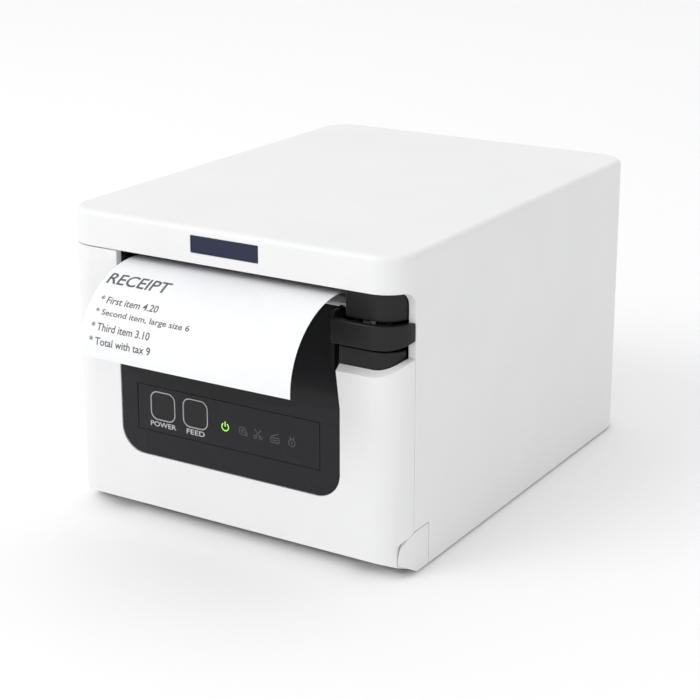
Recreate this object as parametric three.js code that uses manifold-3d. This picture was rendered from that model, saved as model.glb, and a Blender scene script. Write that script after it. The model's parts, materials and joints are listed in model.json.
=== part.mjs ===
// Front-exit receipt printer, in millimetres.
// x runs to the right, y runs from the front to the back, z runs up.
// Inside the model y = 0 is the front face of the case and z = 0 is its bottom. The whole
// model is then shifted so that the origin is the bottom centre of its bounding box.

import * as THREE from 'three';
import { mergeVertices } from 'three/addons/utils/BufferGeometryUtils.js';
import Module from 'manifold-3d';

const wasm = await Module();
wasm.setup();

// ---------- driving dimensions ----------
const WIDTH = 147;
const DEPTH = 195;
const HEIGHT = 119;
const FOOT_HEIGHT = 1;
const CORNER = 12.5;
const TOP_FILLET = 2.4;
const WALL = 3;
const GAP = 0.3;
const SIDES = 20;

const BROW_BOTTOM = 105.3;
const SEAM_Y = 11.1;
const HALF = WIDTH / 2;

const PAPER_WIDTH = 91;
const PAPER_CENTRE_X = 0.3;
const PAPER_THICKNESS = 0.3;
const PAPER_REACH = 28;

// y and z of the axes that run along x
const COVER_AXIS = [9, 8.5];
const PLATEN_AXIS = [22, 86];
const FEED_MOTOR_AXIS = [60.5, 98];
const ROLL_AXIS = [72, 48];
const HEAD_AXIS = [32, 78];
const LEVER_AXIS = [22, 79];
const CUTTER_AXIS = [30, 105.25];
const LATCH_POST = [30, 84.4];

const ROLL_RADIUS = 35;
const PLATEN_RADIUS = 6;
const MESH_CLEARANCE = 0.15;
const DRIVE_MODULE = 1;
const PLATEN_TEETH = 18;
const IDLER_TEETH = 28;
const MOTOR_TEETH = 12;
const RACK_PINION_TEETH = 10;
const CUTTER_MODULE = 0.7;
const CUTTER_GEAR_TEETH = 16;
const CUTTER_MOTOR_TEETH = 10;
const CUTTER_MOTOR_TILT = THREE.MathUtils.degToRad(20);

// ---------- materials ----------
function finish(color, roughness, metalness = 0) {
  return { color, roughness, metalness };
}

const MATERIALS = {
  whiteCase: finish(0xf0f0f0, 0.45),
  panelBlack: finish(0x2b2b2d, 0.3),
  leverBlack: finish(0x262624, 0.4),
  buttonBlack: finish(0x323234, 0.35),
  navy: finish(0x33354a, 0.35),
  steel: finish(0xb8bcc0, 0.3, 1),
  bladeSteel: finish(0xd2d5d8, 0.2, 1),
  aluminium: finish(0xc4c6c8, 0.35, 1),
  brass: finish(0xc9a24b, 0.3, 1),
  blackPlastic: finish(0x1d1d1e, 0.5),
  greyPlastic: finish(0x6d7073, 0.5),
  gearWhite: finish(0xe3e1d8, 0.4),
  rubber: finish(0x151515, 0.85),
  paper: finish(0xfafafa, 0.8),
  card: finish(0x9c7a55, 0.9),
  board: finish(0x1c5a33, 0.5),
  lightGuide: finish(0xdfe9ee, 0.2),
};

const printer = new THREE.Group();

function piece(name, solid, materialName) {
  const mesh = solid.getMesh();
  const geometry = new THREE.BufferGeometry();
  geometry.setAttribute('position', new THREE.BufferAttribute(mesh.vertProperties, 3));
  geometry.setIndex(new THREE.BufferAttribute(mesh.triVerts, 1));
  const flat = geometry.toNonIndexed();
  flat.computeVertexNormals();
  const node = new THREE.Mesh(flat, new THREE.MeshStandardMaterial(MATERIALS[materialName]));
  node.name = name;
  printer.add(node);
}

// ---------- solids from three.js geometry ----------
function solidOf(geometry) {
  const bare = geometry.clone();
  bare.deleteAttribute('normal');
  bare.deleteAttribute('uv');
  const merged = mergeVertices(bare, 1e-4);
  return new wasm.Manifold(new wasm.Mesh({
    numProp: 3,
    vertProperties: new Float32Array(merged.attributes.position.array),
    triVerts: new Uint32Array(merged.index.array),
  }));
}

function box(x0, x1, y0, y1, z0, z1) {
  const geometry = new THREE.BoxGeometry(x1 - x0, y1 - y0, z1 - z0);
  geometry.translate((x0 + x1) / 2, (y0 + y1) / 2, (z0 + z1) / 2);
  return solidOf(geometry);
}

function outlineOf(points) {
  return new THREE.Shape(points.map(([a, b]) => new THREE.Vector2(a, b)));
}

function extrude(outline, depth) {
  const shape = Array.isArray(outline) ? outlineOf(outline) : outline;
  return new THREE.ExtrudeGeometry(shape, { depth, bevelEnabled: false, curveSegments: 8 });
}

const X = new THREE.Vector3(1, 0, 0);
const Y = new THREE.Vector3(0, 1, 0);
const Z = new THREE.Vector3(0, 0, 1);

// an outline in (y, z), pushed along x
function prismX(outline, x0, x1) {
  const geometry = extrude(outline, x1 - x0);
  geometry.applyMatrix4(new THREE.Matrix4().makeBasis(Y, Z, X));
  geometry.translate(x0, 0, 0);
  return solidOf(geometry);
}

// an outline in (x, z), pushed along y
function prismY(outline, y0, y1) {
  const geometry = extrude(outline, y1 - y0);
  geometry.applyMatrix4(new THREE.Matrix4().makeBasis(X, Z, Y.clone().negate()));
  geometry.translate(0, y1, 0);
  return solidOf(geometry);
}

// an outline in (x, y), pushed along z
function prismZ(outline, z0, z1) {
  const geometry = extrude(outline, z1 - z0);
  geometry.translate(0, 0, z0);
  return solidOf(geometry);
}

function arc(centre, radius, startDeg, endDeg, steps) {
  const points = [];
  for (let i = 0; i <= steps; i += 1) {
    const angle = THREE.MathUtils.degToRad(startDeg + ((endDeg - startDeg) * i) / steps);
    points.push([centre[0] + radius * Math.cos(angle), centre[1] + radius * Math.sin(angle)]);
  }
  return points;
}

function disc(centre, radius, sides = SIDES) {
  return arc(centre, radius, 0, 360, sides).slice(0, sides);
}

function rodX(centre, radius, x0, x1, sides = SIDES) {
  return prismX(disc(centre, radius, sides), x0, x1);
}

function rodZ(centre, radius, z0, z1, sides = SIDES) {
  return prismZ(disc(centre, radius, sides), z0, z1);
}

function roundedRectangle(a0, a1, b0, b1, radius) {
  const shape = new THREE.Shape();
  const quarter = Math.PI / 2;
  shape.absarc(a1 - radius, b0 + radius, radius, -quarter, 0);
  shape.absarc(a1 - radius, b1 - radius, radius, 0, quarter);
  shape.absarc(a0 + radius, b1 - radius, radius, quarter, 2 * quarter);
  shape.absarc(a0 + radius, b0 + radius, radius, 2 * quarter, 3 * quarter);
  shape.closePath();
  return shape;
}

function mirrored(solid) {
  return solid.mirror([1, 0, 0]);
}

// ---------- toothed outlines ----------
// A gear outline in (y, z); one tooth points along aimDeg.
function gearOutline(centre, teeth, module, aimDeg) {
  const pitch = (teeth * module) / 2;
  const tip = pitch + 0.8 * module;
  const root = pitch - 1.05 * module;
  const step = 360 / teeth;
  const corners = [[root, -0.36], [tip, -0.14], [tip, 0.14], [root, 0.36]];
  const points = [];
  for (let i = 0; i < teeth; i += 1) {
    for (const [radius, share] of corners) {
      const angle = THREE.MathUtils.degToRad(aimDeg + (i + share) * step);
      points.push([centre[0] + radius * Math.cos(angle), centre[1] + radius * Math.sin(angle)]);
    }
  }
  return points;
}

function bearingDeg(from, to) {
  return THREE.MathUtils.radToDeg(Math.atan2(to[1] - from[1], to[0] - from[0]));
}

// The aim that puts a tooth gap, not a tooth, towards a bearing.
function gapTowards(bearing, teeth) {
  return bearing + 180 / teeth;
}

// Angle of a driven gear that meshes with a driver whose tooth points along driverAim.
function meshingAim(driverCentre, driverTeeth, driverAim, centre, teeth) {
  const out = bearingDeg(driverCentre, centre);
  const lead = (out - driverAim) * (driverTeeth / teeth);
  return gapTowards(out + 180 + lead, teeth);
}

// A rack outline in (y, z): flat back at z0, teeth up to z1.
function rackOutline(y0, teeth, module, z0, zRoot, zTip) {
  const pitch = Math.PI * module;
  const points = [[y0, z0], [y0, zRoot]];
  for (let i = 0; i < teeth; i += 1) {
    const left = y0 + i * pitch;
    points.push([left + 0.14 * pitch, zRoot]);
    points.push([left + 0.36 * pitch, zTip]);
    points.push([left + 0.64 * pitch, zTip]);
    points.push([left + 0.86 * pitch, zRoot]);
  }
  points.push([y0 + teeth * pitch, zRoot]);
  points.push([y0 + teeth * pitch, z0]);
  return points;
}

// ---------- springs ----------
class Helix extends THREE.Curve {
  constructor(base, along, side, radius, length, turns) {
    super();
    Object.assign(this, { base, along, side, radius, length, turns });
    this.up = new THREE.Vector3().crossVectors(along, side);
  }

  getPoint(t) {
    const angle = 2 * Math.PI * this.turns * t;
    return this.base.clone()
      .addScaledVector(this.along, this.length * t)
      .addScaledVector(this.side, this.radius * Math.cos(angle))
      .addScaledVector(this.up, this.radius * Math.sin(angle));
  }
}

function spring(base, along, side, radius, wire, length, turns) {
  const path = new Helix(new THREE.Vector3(...base), along, side, radius, length, turns);
  const section = outlineOf(disc([0, 0], wire, 5));
  const options = { steps: turns * 9, extrudePath: path, curveSegments: 1 };
  return solidOf(new THREE.ExtrudeGeometry(section, options));
}

// ---------- the case block ----------
// The rounded block of the case, shrunk by inset on its sides, with its top at z1.
function caseBlock(inset, z1, fillet) {
  const low = -20;
  const shape = roundedRectangle(-HALF + inset, HALF - inset, inset, DEPTH - inset, CORNER - inset);
  const options = {
    depth: z1 - low - 2 * fillet,
    bevelEnabled: fillet > 0,
    bevelThickness: fillet,
    bevelSize: fillet,
    bevelOffset: -fillet,
    bevelSegments: 3,
    curveSegments: 8,
  };
  const geometry = new THREE.ExtrudeGeometry(shape, options);
  geometry.translate(0, 0, low + fillet);
  return solidOf(geometry);
}

const OUTER = caseBlock(0, HEIGHT, TOP_FILLET);
const INNER = caseBlock(WALL, HEIGHT - WALL, 0);
const FITTED = caseBlock(WALL + GAP, HEIGHT - WALL - GAP, 0);

// ---------- case shell ----------
const EAR_TOP = 15.9;
const EAR_BACK = 21.7;
const CASE_SCREWS = [[60, 60], [60, 150]];
const BADGE = { x0: -13.9, x1: 15.2, z0: 109.5, z1: 115.6 };
const REAR_WINDOW = { x0: -46, x1: 46, z0: 9, z1: 37 };

function screwBoss([x, y]) {
  const rib = box(x, HALF - 2, y - 2, y + 2, 3.6, 20);
  return rodZ([x, y], 4, 3.6, 20, 16).add(rib).subtract(rodZ([x, y], 1.65, 3, 14, 12));
}

function browCornerFillet() {
  const radius = 5.5;
  const centre = [SEAM_Y - radius, BROW_BOTTOM - radius];
  const outline = [[SEAM_Y + 1, BROW_BOTTOM + 1], [centre[0], BROW_BOTTOM + 1]];
  outline.push(...arc(centre, radius, 90, 0, 6));
  outline.push([SEAM_Y + 1, centre[1]]);
  return prismX(outline, HALF - 6, HALF + 1).intersect(OUTER).subtract(INNER);
}

function makeCaseShell() {
  let shell = OUTER.subtract(INNER);
  shell = shell.subtract(box(-100, 100, -5, DEPTH + 5, -30, 0));
  shell = shell.subtract(box(-100, 100, -5, SEAM_Y, -1, BROW_BOTTOM));
  shell = shell.subtract(box(-100, 100, -5, EAR_BACK + GAP, -1, EAR_TOP + GAP));
  shell = shell.add(browCornerFillet());
  const recess = box(BADGE.x0 - GAP, BADGE.x1 + GAP, -1, 0.8, BADGE.z0 - GAP, BADGE.z1 + GAP);
  const w = REAR_WINDOW;
  const window = prismY(roundedRectangle(w.x0, w.x1, w.z0, w.z1, 3), DEPTH - 5, DEPTH + 5);
  shell = shell.subtract(recess).subtract(window);
  for (const place of CASE_SCREWS) {
    shell = shell.add(screwBoss(place)).add(mirrored(screwBoss(place)));
  }
  return shell;
}

piece('case_shell', makeCaseShell(), 'whiteCase');
piece('badge_plate', box(BADGE.x0, BADGE.x1, -0.2, 0.5, BADGE.z0, BADGE.z1), 'navy');

// ---------- base chassis, feet and screws ----------
const BASE_FRONT = 17.3;
const BASE_TOP = 3.2;
const FEET = [[55, 34], [55, 176]];
const FOOT_RADIUS = 6;
const PIN_RADIUS = 2;
const LUG_X = [52, 59.4];
const KNUCKLE_X = [60, 69.9];

function hingeLug() {
  const disc5 = rodX(COVER_AXIS, 5, LUG_X[0], LUG_X[1]);
  const arm = box(LUG_X[0], LUG_X[1], COVER_AXIS[0], BASE_FRONT + 6, 3.5, 12);
  const root = box(LUG_X[0], LUG_X[1], BASE_FRONT, BASE_FRONT + 6, 1, 12);
  return disc5.add(arm).add(root).subtract(rodX(COVER_AXIS, PIN_RADIUS + 0.1, 40, 80));
}

function makeBaseChassis() {
  let base = FITTED.intersect(box(-100, 100, BASE_FRONT, DEPTH, 0, BASE_TOP));
  base = base.subtract(box(63, 100, 10, EAR_BACK + GAP, -1, 20));
  base = base.subtract(box(-100, -63, 10, EAR_BACK + GAP, -1, 20));
  base = base.add(hingeLug()).add(mirrored(hingeLug()));
  for (const [x, y] of FEET) {
    const pocket = rodZ([x, y], FOOT_RADIUS + GAP, -1, 1.8);
    base = base.subtract(pocket).subtract(mirrored(pocket));
  }
  for (const [x, y] of CASE_SCREWS) {
    const bore = rodZ([x, y], 3.4, -1, 2).add(rodZ([x, y], 1.8, -1, 10));
    base = base.subtract(bore).subtract(mirrored(bore));
  }
  return base;
}

function baseScrew([x, y]) {
  const head = rodZ([x, y], 3, 0.3, 1.8, 20).add(rodZ([x, y], 1.5, 1.5, 12, 12));
  const slotA = box(x - 1.6, x + 1.6, y - 0.35, y + 0.35, -1, 1);
  const slotB = box(x - 0.35, x + 0.35, y - 1.6, y + 1.6, -1, 1);
  return head.subtract(slotA).subtract(slotB);
}

piece('base_chassis', makeBaseChassis(), 'whiteCase');

function fourCorners(baseName, places, make, materialName) {
  const labels = ['front', 'rear'];
  places.forEach((place, i) => {
    piece(`${baseName}_${labels[i]}_right`, make(place), materialName);
    piece(`${baseName}_${labels[i]}_left`, mirrored(make(place)), materialName);
  });
}

fourCorners('rubber_foot', FEET, (p) => rodZ(p, FOOT_RADIUS, -FOOT_HEIGHT, 1.5), 'rubber');
fourCorners('base_screw', CASE_SCREWS, baseScrew, 'steel');

// ---------- hinge ears and pins ----------
const EAR_ARC_CENTRE = [13.6, 7];
const EAR_ARC_RADIUS = 8.9;
const EAR_INNER_X = 70.6;
// the blind end of the pin's bore, inside the ear's rounded skin
const EAR_BORE_END = 71.9;

function earOutline(grow) {
  const radius = EAR_ARC_RADIUS + grow;
  const front = EAR_ARC_CENTRE[0] - radius;
  return [
    [EAR_BACK + grow, 0 - 2 * grow], [EAR_BACK + grow, EAR_TOP + grow],
    ...arc(EAR_ARC_CENTRE, radius, 90, 180, 8),
    [front, 4.8 - grow], [13.6, 0 - 2 * grow],
  ];
}

function hingeEar() {
  const plate = prismX(earOutline(0), EAR_INNER_X, HALF + 1).intersect(OUTER);
  const tab = box(64, EAR_INNER_X + 1, BASE_FRONT, EAR_BACK, 1, 14);
  return plate.add(tab).subtract(rodX(COVER_AXIS, PIN_RADIUS + 0.1, 60, EAR_BORE_END));
}

piece('hinge_ear_right', hingeEar(), 'whiteCase');
piece('hinge_ear_left', mirrored(hingeEar()), 'whiteCase');
const hingePin = rodX(COVER_AXIS, PIN_RADIUS, LUG_X[0] - 1, EAR_BORE_END - GAP);
piece('hinge_pin_right', hingePin, 'steel');
piece('hinge_pin_left', mirrored(hingePin), 'steel');

// ---------- front cover ----------
const COVER_TOP = 104.9;
const OPENING = { left: -48.5, right: 49.2, bottom: 26.6, radius: 10 };
const FOLD_Z = 61.3;
const RIGHT_TOP = 75.4;
const RIGHT_TOP_X = 47.5;
const CHAMFER_Z = 6.1;
const CHAMFER_Y = 13.6;
// how far from the hinge axis the ears reach in front, with room for the cover to turn
const EAR_SWEEP_RADIUS = 5.95;
// the thin strip of cover that would be left under the front of each ear
const EAR_STRIP = { front: 4.2, top: 5 };

// The black area of the front, seen along y; shrink pulls its edges in.
function openingOutline(shrink, top) {
  const left = OPENING.left + shrink;
  const right = OPENING.right - shrink;
  const low = OPENING.bottom + shrink;
  const r = OPENING.radius - shrink;
  const slope = (OPENING.right - RIGHT_TOP_X) / (RIGHT_TOP - FOLD_Z);
  return [
    [left, top],
    ...arc([left + r, low + r], r, 180, 270, 8),
    ...arc([right - r, low + r], r, 270, 360, 8),
    [right, FOLD_Z], [right - slope * (top - FOLD_Z), top],
  ];
}

function chamferFront(y) {
  return CHAMFER_Z * (1 - y / CHAMFER_Y);
}

function coverBottomWall() {
  const back = SEAM_Y - GAP;
  const outline = [
    [0, CHAMFER_Z], [back, chamferFront(back)],
    [back, chamferFront(back) + WALL], [0, CHAMFER_Z + WALL],
  ];
  return prismX(outline, -70.2, 70.2).intersect(OUTER);
}

function coverTopCut() {
  const rise = [[0, RIGHT_TOP], [1.5, 76.3], [4.3, 78.1], [7.5, 79.9], [SEAM_Y - GAP, 80.8]];
  return prismX([[-5, RIGHT_TOP], ...rise, [20, 80.8], [20, 130], [-5, 130]], 40, 90);
}

function coverKnuckle() {
  return rodX(COVER_AXIS, 5.5, KNUCKLE_X[0], KNUCKLE_X[1]).intersect(OUTER);
}

function makeFrontCover() {
  const back = SEAM_Y - GAP;
  let cover = OUTER.intersect(box(-100, 100, -5, back, 0, COVER_TOP)).subtract(INNER);
  const under = [[-5, chamferFront(-5)], [20, chamferFront(20)], [-5, -30]];
  cover = cover.subtract(prismX(under, -100, 100)).add(coverBottomWall());
  cover = cover.subtract(coverTopCut());
  cover = cover.subtract(prismY(openingOutline(0, 120), -5, WALL + 1));
  const clearance = prismX(earOutline(GAP), EAR_INNER_X - GAP, 90);
  const lugRoom = box(LUG_X[0] - 0.6, LUG_X[1] + 0.5, WALL + 0.2, 20, -5, 16);
  for (const cut of [clearance, lugRoom]) {
    cover = cover.subtract(cut).subtract(mirrored(cut));
  }
  const besideEar = EAR_INNER_X - GAP;
  const strip = box(besideEar, 90, EAR_STRIP.front, 20, -5, EAR_STRIP.top);
  const sweep = rodX(COVER_AXIS, EAR_SWEEP_RADIUS, besideEar, 90, 32).add(strip);
  cover = cover.subtract(sweep).subtract(mirrored(sweep));
  cover = cover.add(coverKnuckle()).add(mirrored(coverKnuckle()));
  return cover.subtract(rodX(COVER_AXIS, PIN_RADIUS + 0.1, -80, 80));
}

piece('front_cover', makeFrontCover(), 'whiteCase');

// ---------- operation panel ----------
const PANEL_FRONT = 0.25;
const PANEL_BACK = 2.8;
const SCOOP = [[PANEL_FRONT, 60], [PANEL_FRONT, FOLD_Z], [3.2, 71], [7.4, 82], [11.4, 90.5], [14, 95.6]];
const BUTTON_SIZE = 10.8;
const BUTTON_Z = 47.1;
const BUTTONS = [['power_button', -28.9], ['feed_button', -13.9]];
const ICONS_X = [-0.4, 7.6, 14.1, 21.5, 28.9];
const ICON_Z = 44.8;

function scoopSheet() {
  const thickness = 2.4;
  const back = SCOOP.map(([y, z]) => [y + thickness, z]).reverse();
  return prismX([...SCOOP, ...back], -48.2, 48.9);
}

function scoopCheek(x0, x1) {
  return prismX([[3.4, 66], [3.4, 95.6], [15, 95.6], [15, 90], [6, 72], [4.6, 66]], x0, x1);
}

function buttonOutline(x, size, radius) {
  const h = size / 2;
  return roundedRectangle(x - h, x + h, BUTTON_Z - h, BUTTON_Z + h, radius);
}

function makePanel() {
  const plate = prismY(openingOutline(GAP, FOLD_Z), PANEL_FRONT, PANEL_BACK);
  const besideLever = box(46.4, 60, WALL + 0.2, 40, 50, 110);
  const scoop = scoopSheet().intersect(prismY(openingOutline(GAP, 100), -5, 30)).subtract(besideLever);
  let panel = plate.add(scoop).add(scoopCheek(-48.2, -46.8)).add(scoopCheek(43.6, 45));
  for (const [, x] of BUTTONS) {
    panel = panel.subtract(prismY(buttonOutline(x, BUTTON_SIZE + 0.6, 2.9), -5, 10));
  }
  return panel;
}

function makeButton(x) {
  const cap = prismY(buttonOutline(x, BUTTON_SIZE, 2.6), 0, 3.4);
  const stem = box(x - 1.5, x + 1.5, 3, 4.6, BUTTON_Z - 1.5, BUTTON_Z + 1.5);
  return cap.add(stem);
}

function makeLightGuide() {
  let guide = box(ICONS_X[0] - 3, ICONS_X[4] + 3, 4, 5, ICON_Z - 3, ICON_Z + 3);
  for (const x of ICONS_X) {
    guide = guide.add(box(x - 2.4, x + 2.4, 3.1, 4.5, ICON_Z - 2.4, ICON_Z + 2.4));
  }
  return guide;
}

piece('operation_panel', makePanel(), 'panelBlack');
for (const [name, x] of BUTTONS) {
  piece(name, makeButton(x), 'buttonBlack');
}
piece('status_light_guide', makeLightGuide(), 'lightGuide');
piece('panel_board', box(-45, 45, 5.8, 7.4, 31, 57), 'board');

// ---------- black covers around the lever ----------
const HOOD_X = 49.6;
const LOWER_X = 46.8;

function cornerShell(x0, y1, z0, z1, thickness) {
  const inside = caseBlock(WALL + GAP + thickness, HEIGHT, 0);
  const block = FITTED.intersect(box(x0, 100, 0, y1, z0, z1));
  const hollow = inside.intersect(box(x0 + thickness, 100, 0, y1 + 5, z0 - 5, z1 - thickness));
  return block.subtract(hollow);
}

piece('upper_side_cover', cornerShell(HOOD_X, 13.6, 94.5, 112, 2.2), 'leverBlack');
piece('lower_side_cover', cornerShell(LOWER_X, 10.6, 62, 83.8, 2.2), 'leverBlack');

// ---------- cover-open lever ----------
const LEVER_TOP = 94;
const LEVER_BOTTOM = 85.2;
const LEVER_THICKNESS = 2.8;
const LEVER_ARM_X = [62.5, 66];

function leverBand() {
  const inside = caseBlock(LEVER_THICKNESS, HEIGHT, 0);
  const reach = box(40, 100, -5, SEAM_Y - GAP, LEVER_BOTTOM, LEVER_TOP);
  let band = OUTER.intersect(reach).subtract(inside);
  const leftEnd = [[30, 70], [46.1, 70], [45.3, 100], [30, 100]];
  band = band.subtract(prismY(leftEnd, -5, 20));
  const under = [[2, 80], [2, LEVER_BOTTOM], [SEAM_Y, 87.4], [SEAM_Y, 80]];
  return band.subtract(prismX(under, 60, 90));
}

function leverArm() {
  const outline = [
    [1, 88.7], [1, 91], [24, 92.4], [35, 88.4], [35, 86.8], [27, 86.8], [26, 82],
    [25.5, 77], [22, 75], [18.5, 77], [17.5, 84], [11.2, 86.7],
  ];
  return prismX(outline, LEVER_ARM_X[0], LEVER_ARM_X[1]);
}

function makeLever() {
  const arm = leverArm().intersect(OUTER);
  return leverBand().add(arm).subtract(rodX(LEVER_AXIS, 1.6, 50, 80, 16));
}

piece('open_lever', makeLever(), 'leverBlack');
piece('lever_pin', rodX(LEVER_AXIS, 1.5, 51, 67, 16), 'steel');
piece('lever_spring', spring([64.25, 13.4, 72.8], Z, X, 1.7, 0.35, 11, 4), 'steel');

// ---------- platen unit, carried by the cover ----------
const BRACKET_X = [52, 54.5];
const SHAFT_RADIUS = 3;

function bracketArm() {
  const outline = [
    [11, 62], [15, 62], [27.5, 76], [28, 82], [28, 92], [16, 92], [14.5, 84], [11, 76],
  ];
  const arm = prismX(outline, BRACKET_X[0], BRACKET_X[1]);
  return arm.subtract(rodX(PLATEN_AXIS, 4.7, 40, 60)).subtract(rodX(LEVER_AXIS, 1.6, 40, 60, 16));
}

function makeBracket() {
  const bar = box(-BRACKET_X[1], BRACKET_X[1], 11, 15, 62, 66);
  const web = box(-BRACKET_X[1], BRACKET_X[1], 13, 14.4, 62, 74);
  const springShelf = box(BRACKET_X[0], 67, 11, 15.8, 70.6, 72);
  return bar.add(web).add(springShelf).add(bracketArm()).add(mirrored(bracketArm()));
}

function bush() {
  const ring = rodX(PLATEN_AXIS, 4.6, BRACKET_X[0] - 0.6, BRACKET_X[1] + 0.4);
  const flange = rodX(PLATEN_AXIS, 5.2, BRACKET_X[1] + 0.1, BRACKET_X[1] + 1.2);
  return ring.add(flange).subtract(rodX(PLATEN_AXIS, SHAFT_RADIUS + 0.1, 40, 60));
}

piece('platen_bracket', makeBracket(), 'steel');
piece('platen_bush_right', bush(), 'brass');
piece('platen_bush_left', mirrored(bush()), 'brass');

const platenTube = rodX(PLATEN_AXIS, PLATEN_RADIUS, -46, 46.6, 32);
piece('platen_roller', platenTube.subtract(rodX(PLATEN_AXIS, SHAFT_RADIUS + 0.05, -60, 60)), 'rubber');
piece('platen_shaft', rodX(PLATEN_AXIS, SHAFT_RADIUS, -68, 59.4), 'steel');

// ---------- feed gear train, outside the left frame plate ----------
const TRAIN_X = [-67.5, -63.5];

function pitchRadius(teeth, module) {
  return (teeth * module) / 2;
}

function circleCrossing(a, radiusA, b, radiusB) {
  const dy = b[0] - a[0];
  const dz = b[1] - a[1];
  const distance = Math.hypot(dy, dz);
  const along = (radiusA ** 2 - radiusB ** 2 + distance ** 2) / (2 * distance);
  const across = Math.sqrt(radiusA ** 2 - along ** 2);
  const u = [dy / distance, dz / distance];
  return [a[0] + u[0] * along - u[1] * across, a[1] + u[1] * along + u[0] * across];
}

const platenReach = pitchRadius(PLATEN_TEETH + IDLER_TEETH, DRIVE_MODULE) + MESH_CLEARANCE;
const motorReach = pitchRadius(MOTOR_TEETH + IDLER_TEETH, DRIVE_MODULE) + MESH_CLEARANCE;
const IDLER_AXIS = circleCrossing(PLATEN_AXIS, platenReach, FEED_MOTOR_AXIS, motorReach);

const platenAim = bearingDeg(PLATEN_AXIS, IDLER_AXIS);
const idlerAim = meshingAim(PLATEN_AXIS, PLATEN_TEETH, platenAim, IDLER_AXIS, IDLER_TEETH);
const motorAim = meshingAim(IDLER_AXIS, IDLER_TEETH, idlerAim, FEED_MOTOR_AXIS, MOTOR_TEETH);

function gear(centre, teeth, module, aim, x0, x1) {
  return prismX(gearOutline(centre, teeth, module, aim), x0, x1);
}

const platenGear = gear(PLATEN_AXIS, PLATEN_TEETH, DRIVE_MODULE, platenAim, ...TRAIN_X);
piece('platen_gear', platenGear.subtract(rodX(PLATEN_AXIS, SHAFT_RADIUS + 0.05, -80, 0)), 'gearWhite');

const idlerGear = gear(IDLER_AXIS, IDLER_TEETH, DRIVE_MODULE, idlerAim, ...TRAIN_X);
piece('idler_gear', idlerGear.subtract(rodX(IDLER_AXIS, 2.1, -80, 0)), 'gearWhite');
piece('idler_stud', rodX(IDLER_AXIS, 2, -68, -57.5), 'steel');

const motorPinion = gear(FEED_MOTOR_AXIS, MOTOR_TEETH, DRIVE_MODULE, motorAim, ...TRAIN_X);
piece('feed_motor_pinion', motorPinion.add(rodX(FEED_MOTOR_AXIS, 1.5, -66, -59.2, 16)), 'brass');

function motorCan(centre, radius, x0, x1, bossX0, bossX1) {
  const can = rodX(centre, radius, x0, x1);
  return can.add(rodX(centre, radius * 0.35, bossX0, bossX1));
}

piece('feed_motor', motorCan(FEED_MOTOR_AXIS, 12, -58.6, -36, -38, -34), 'greyPlastic');

// ---------- mechanism frame ----------
const FRAME_BACK = [46, 47.5];
const PLATE_X = [60, 61.5];

function sidePlate(yBack) {
  const outline = [
    [14, 96], [14, 73], [44, 73], [44, 80], [yBack, 82], [yBack, 113], [20, 113], [20, 96],
  ];
  const slot = box(50, 70, 0, 25.6, 76.4, 92);
  return prismX(outline, PLATE_X[0], PLATE_X[1]).subtract(slot);
}

function makeFrame() {
  const wall = box(-PLATE_X[1], PLATE_X[1], FRAME_BACK[0], FRAME_BACK[1], 82, 112);
  const right = sidePlate(52).add(rodX(LATCH_POST, 2, 60.5, 66.5));
  let frame = wall.add(right).add(mirrored(sidePlate(76)));
  frame = frame.subtract(rodX(HEAD_AXIS, 2.1, -80, 80));
  frame = frame.subtract(rodX(CUTTER_AXIS, 2.1, -80, 80));
  frame = frame.subtract(rodX(FEED_MOTOR_AXIS, 2.4, -80, -50));
  return frame.subtract(rodX(IDLER_AXIS, 2.1, -80, -50));
}

piece('mechanism_frame', makeFrame(), 'steel');

// ---------- thermal head ----------
const HEAD_FRONT = 28.75;

function makeHeatSink() {
  let sink = box(-50, 50, 30.6, 34.4, 79, 96.4);
  for (let x = -45; x <= 45; x += 10) {
    sink = sink.subtract(box(x - 1.5, x + 1.5, 33, 40, 81, 95));
  }
  const trunnion = rodX(HEAD_AXIS, 2, -61.2, 61.2);
  const lugs = box(-50, -46.5, 30.6, 34, 76, 82).add(box(46.5, 50, 30.6, 34, 76, 82));
  const middle = box(-46.5, 46.5, 20, 40, 70, 79);
  return sink.add(lugs).add(trunnion.subtract(middle));
}

piece('thermal_head', box(-48, 48, HEAD_FRONT, 30.3, 80, 96), 'card');
piece('head_heat_sink', makeHeatSink(), 'aluminium');
piece('head_spring_right', spring([30, 34.9, 90], Y, X, 2.6, 0.4, 10.4, 4), 'steel');
piece('head_spring_left', spring([-30, 34.9, 90], Y, X, 2.6, 0.4, 10.4, 4), 'steel');

// ---------- cutter ----------
const BLADE_Z = [97.6, 98.6];
const RACK_X = [43.5, 47.5];
const RACK_PITCH_Z = CUTTER_AXIS[1] - pitchRadius(RACK_PINION_TEETH, DRIVE_MODULE) - MESH_CLEARANCE;

function makeFixedBlade() {
  const outline = [[8.6, 96.1], [16.9, 96.1], [16.9, 97.2], [16.2, 97.3], [8.6, 97.3]];
  return prismX(outline, -48.6, 48.6);
}

function rackStrip() {
  const root = RACK_PITCH_Z - 1.05;
  const tip = RACK_PITCH_Z + 0.8;
  const pitch = Math.PI * DRIVE_MODULE;
  const start = CUTTER_AXIS[0] - 2 * pitch;
  return prismX(rackOutline(start, 6, DRIVE_MODULE, 98.2, root, tip), RACK_X[0], RACK_X[1]);
}

function makeMovingBlade() {
  const outline = [[-48.4, 20.6], [0, 22.4], [48.4, 20.6], [48.4, 43.5], [-48.4, 43.5]];
  return prismZ(outline, BLADE_Z[0], BLADE_Z[1]).add(rackStrip()).add(mirrored(rackStrip()));
}

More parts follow.
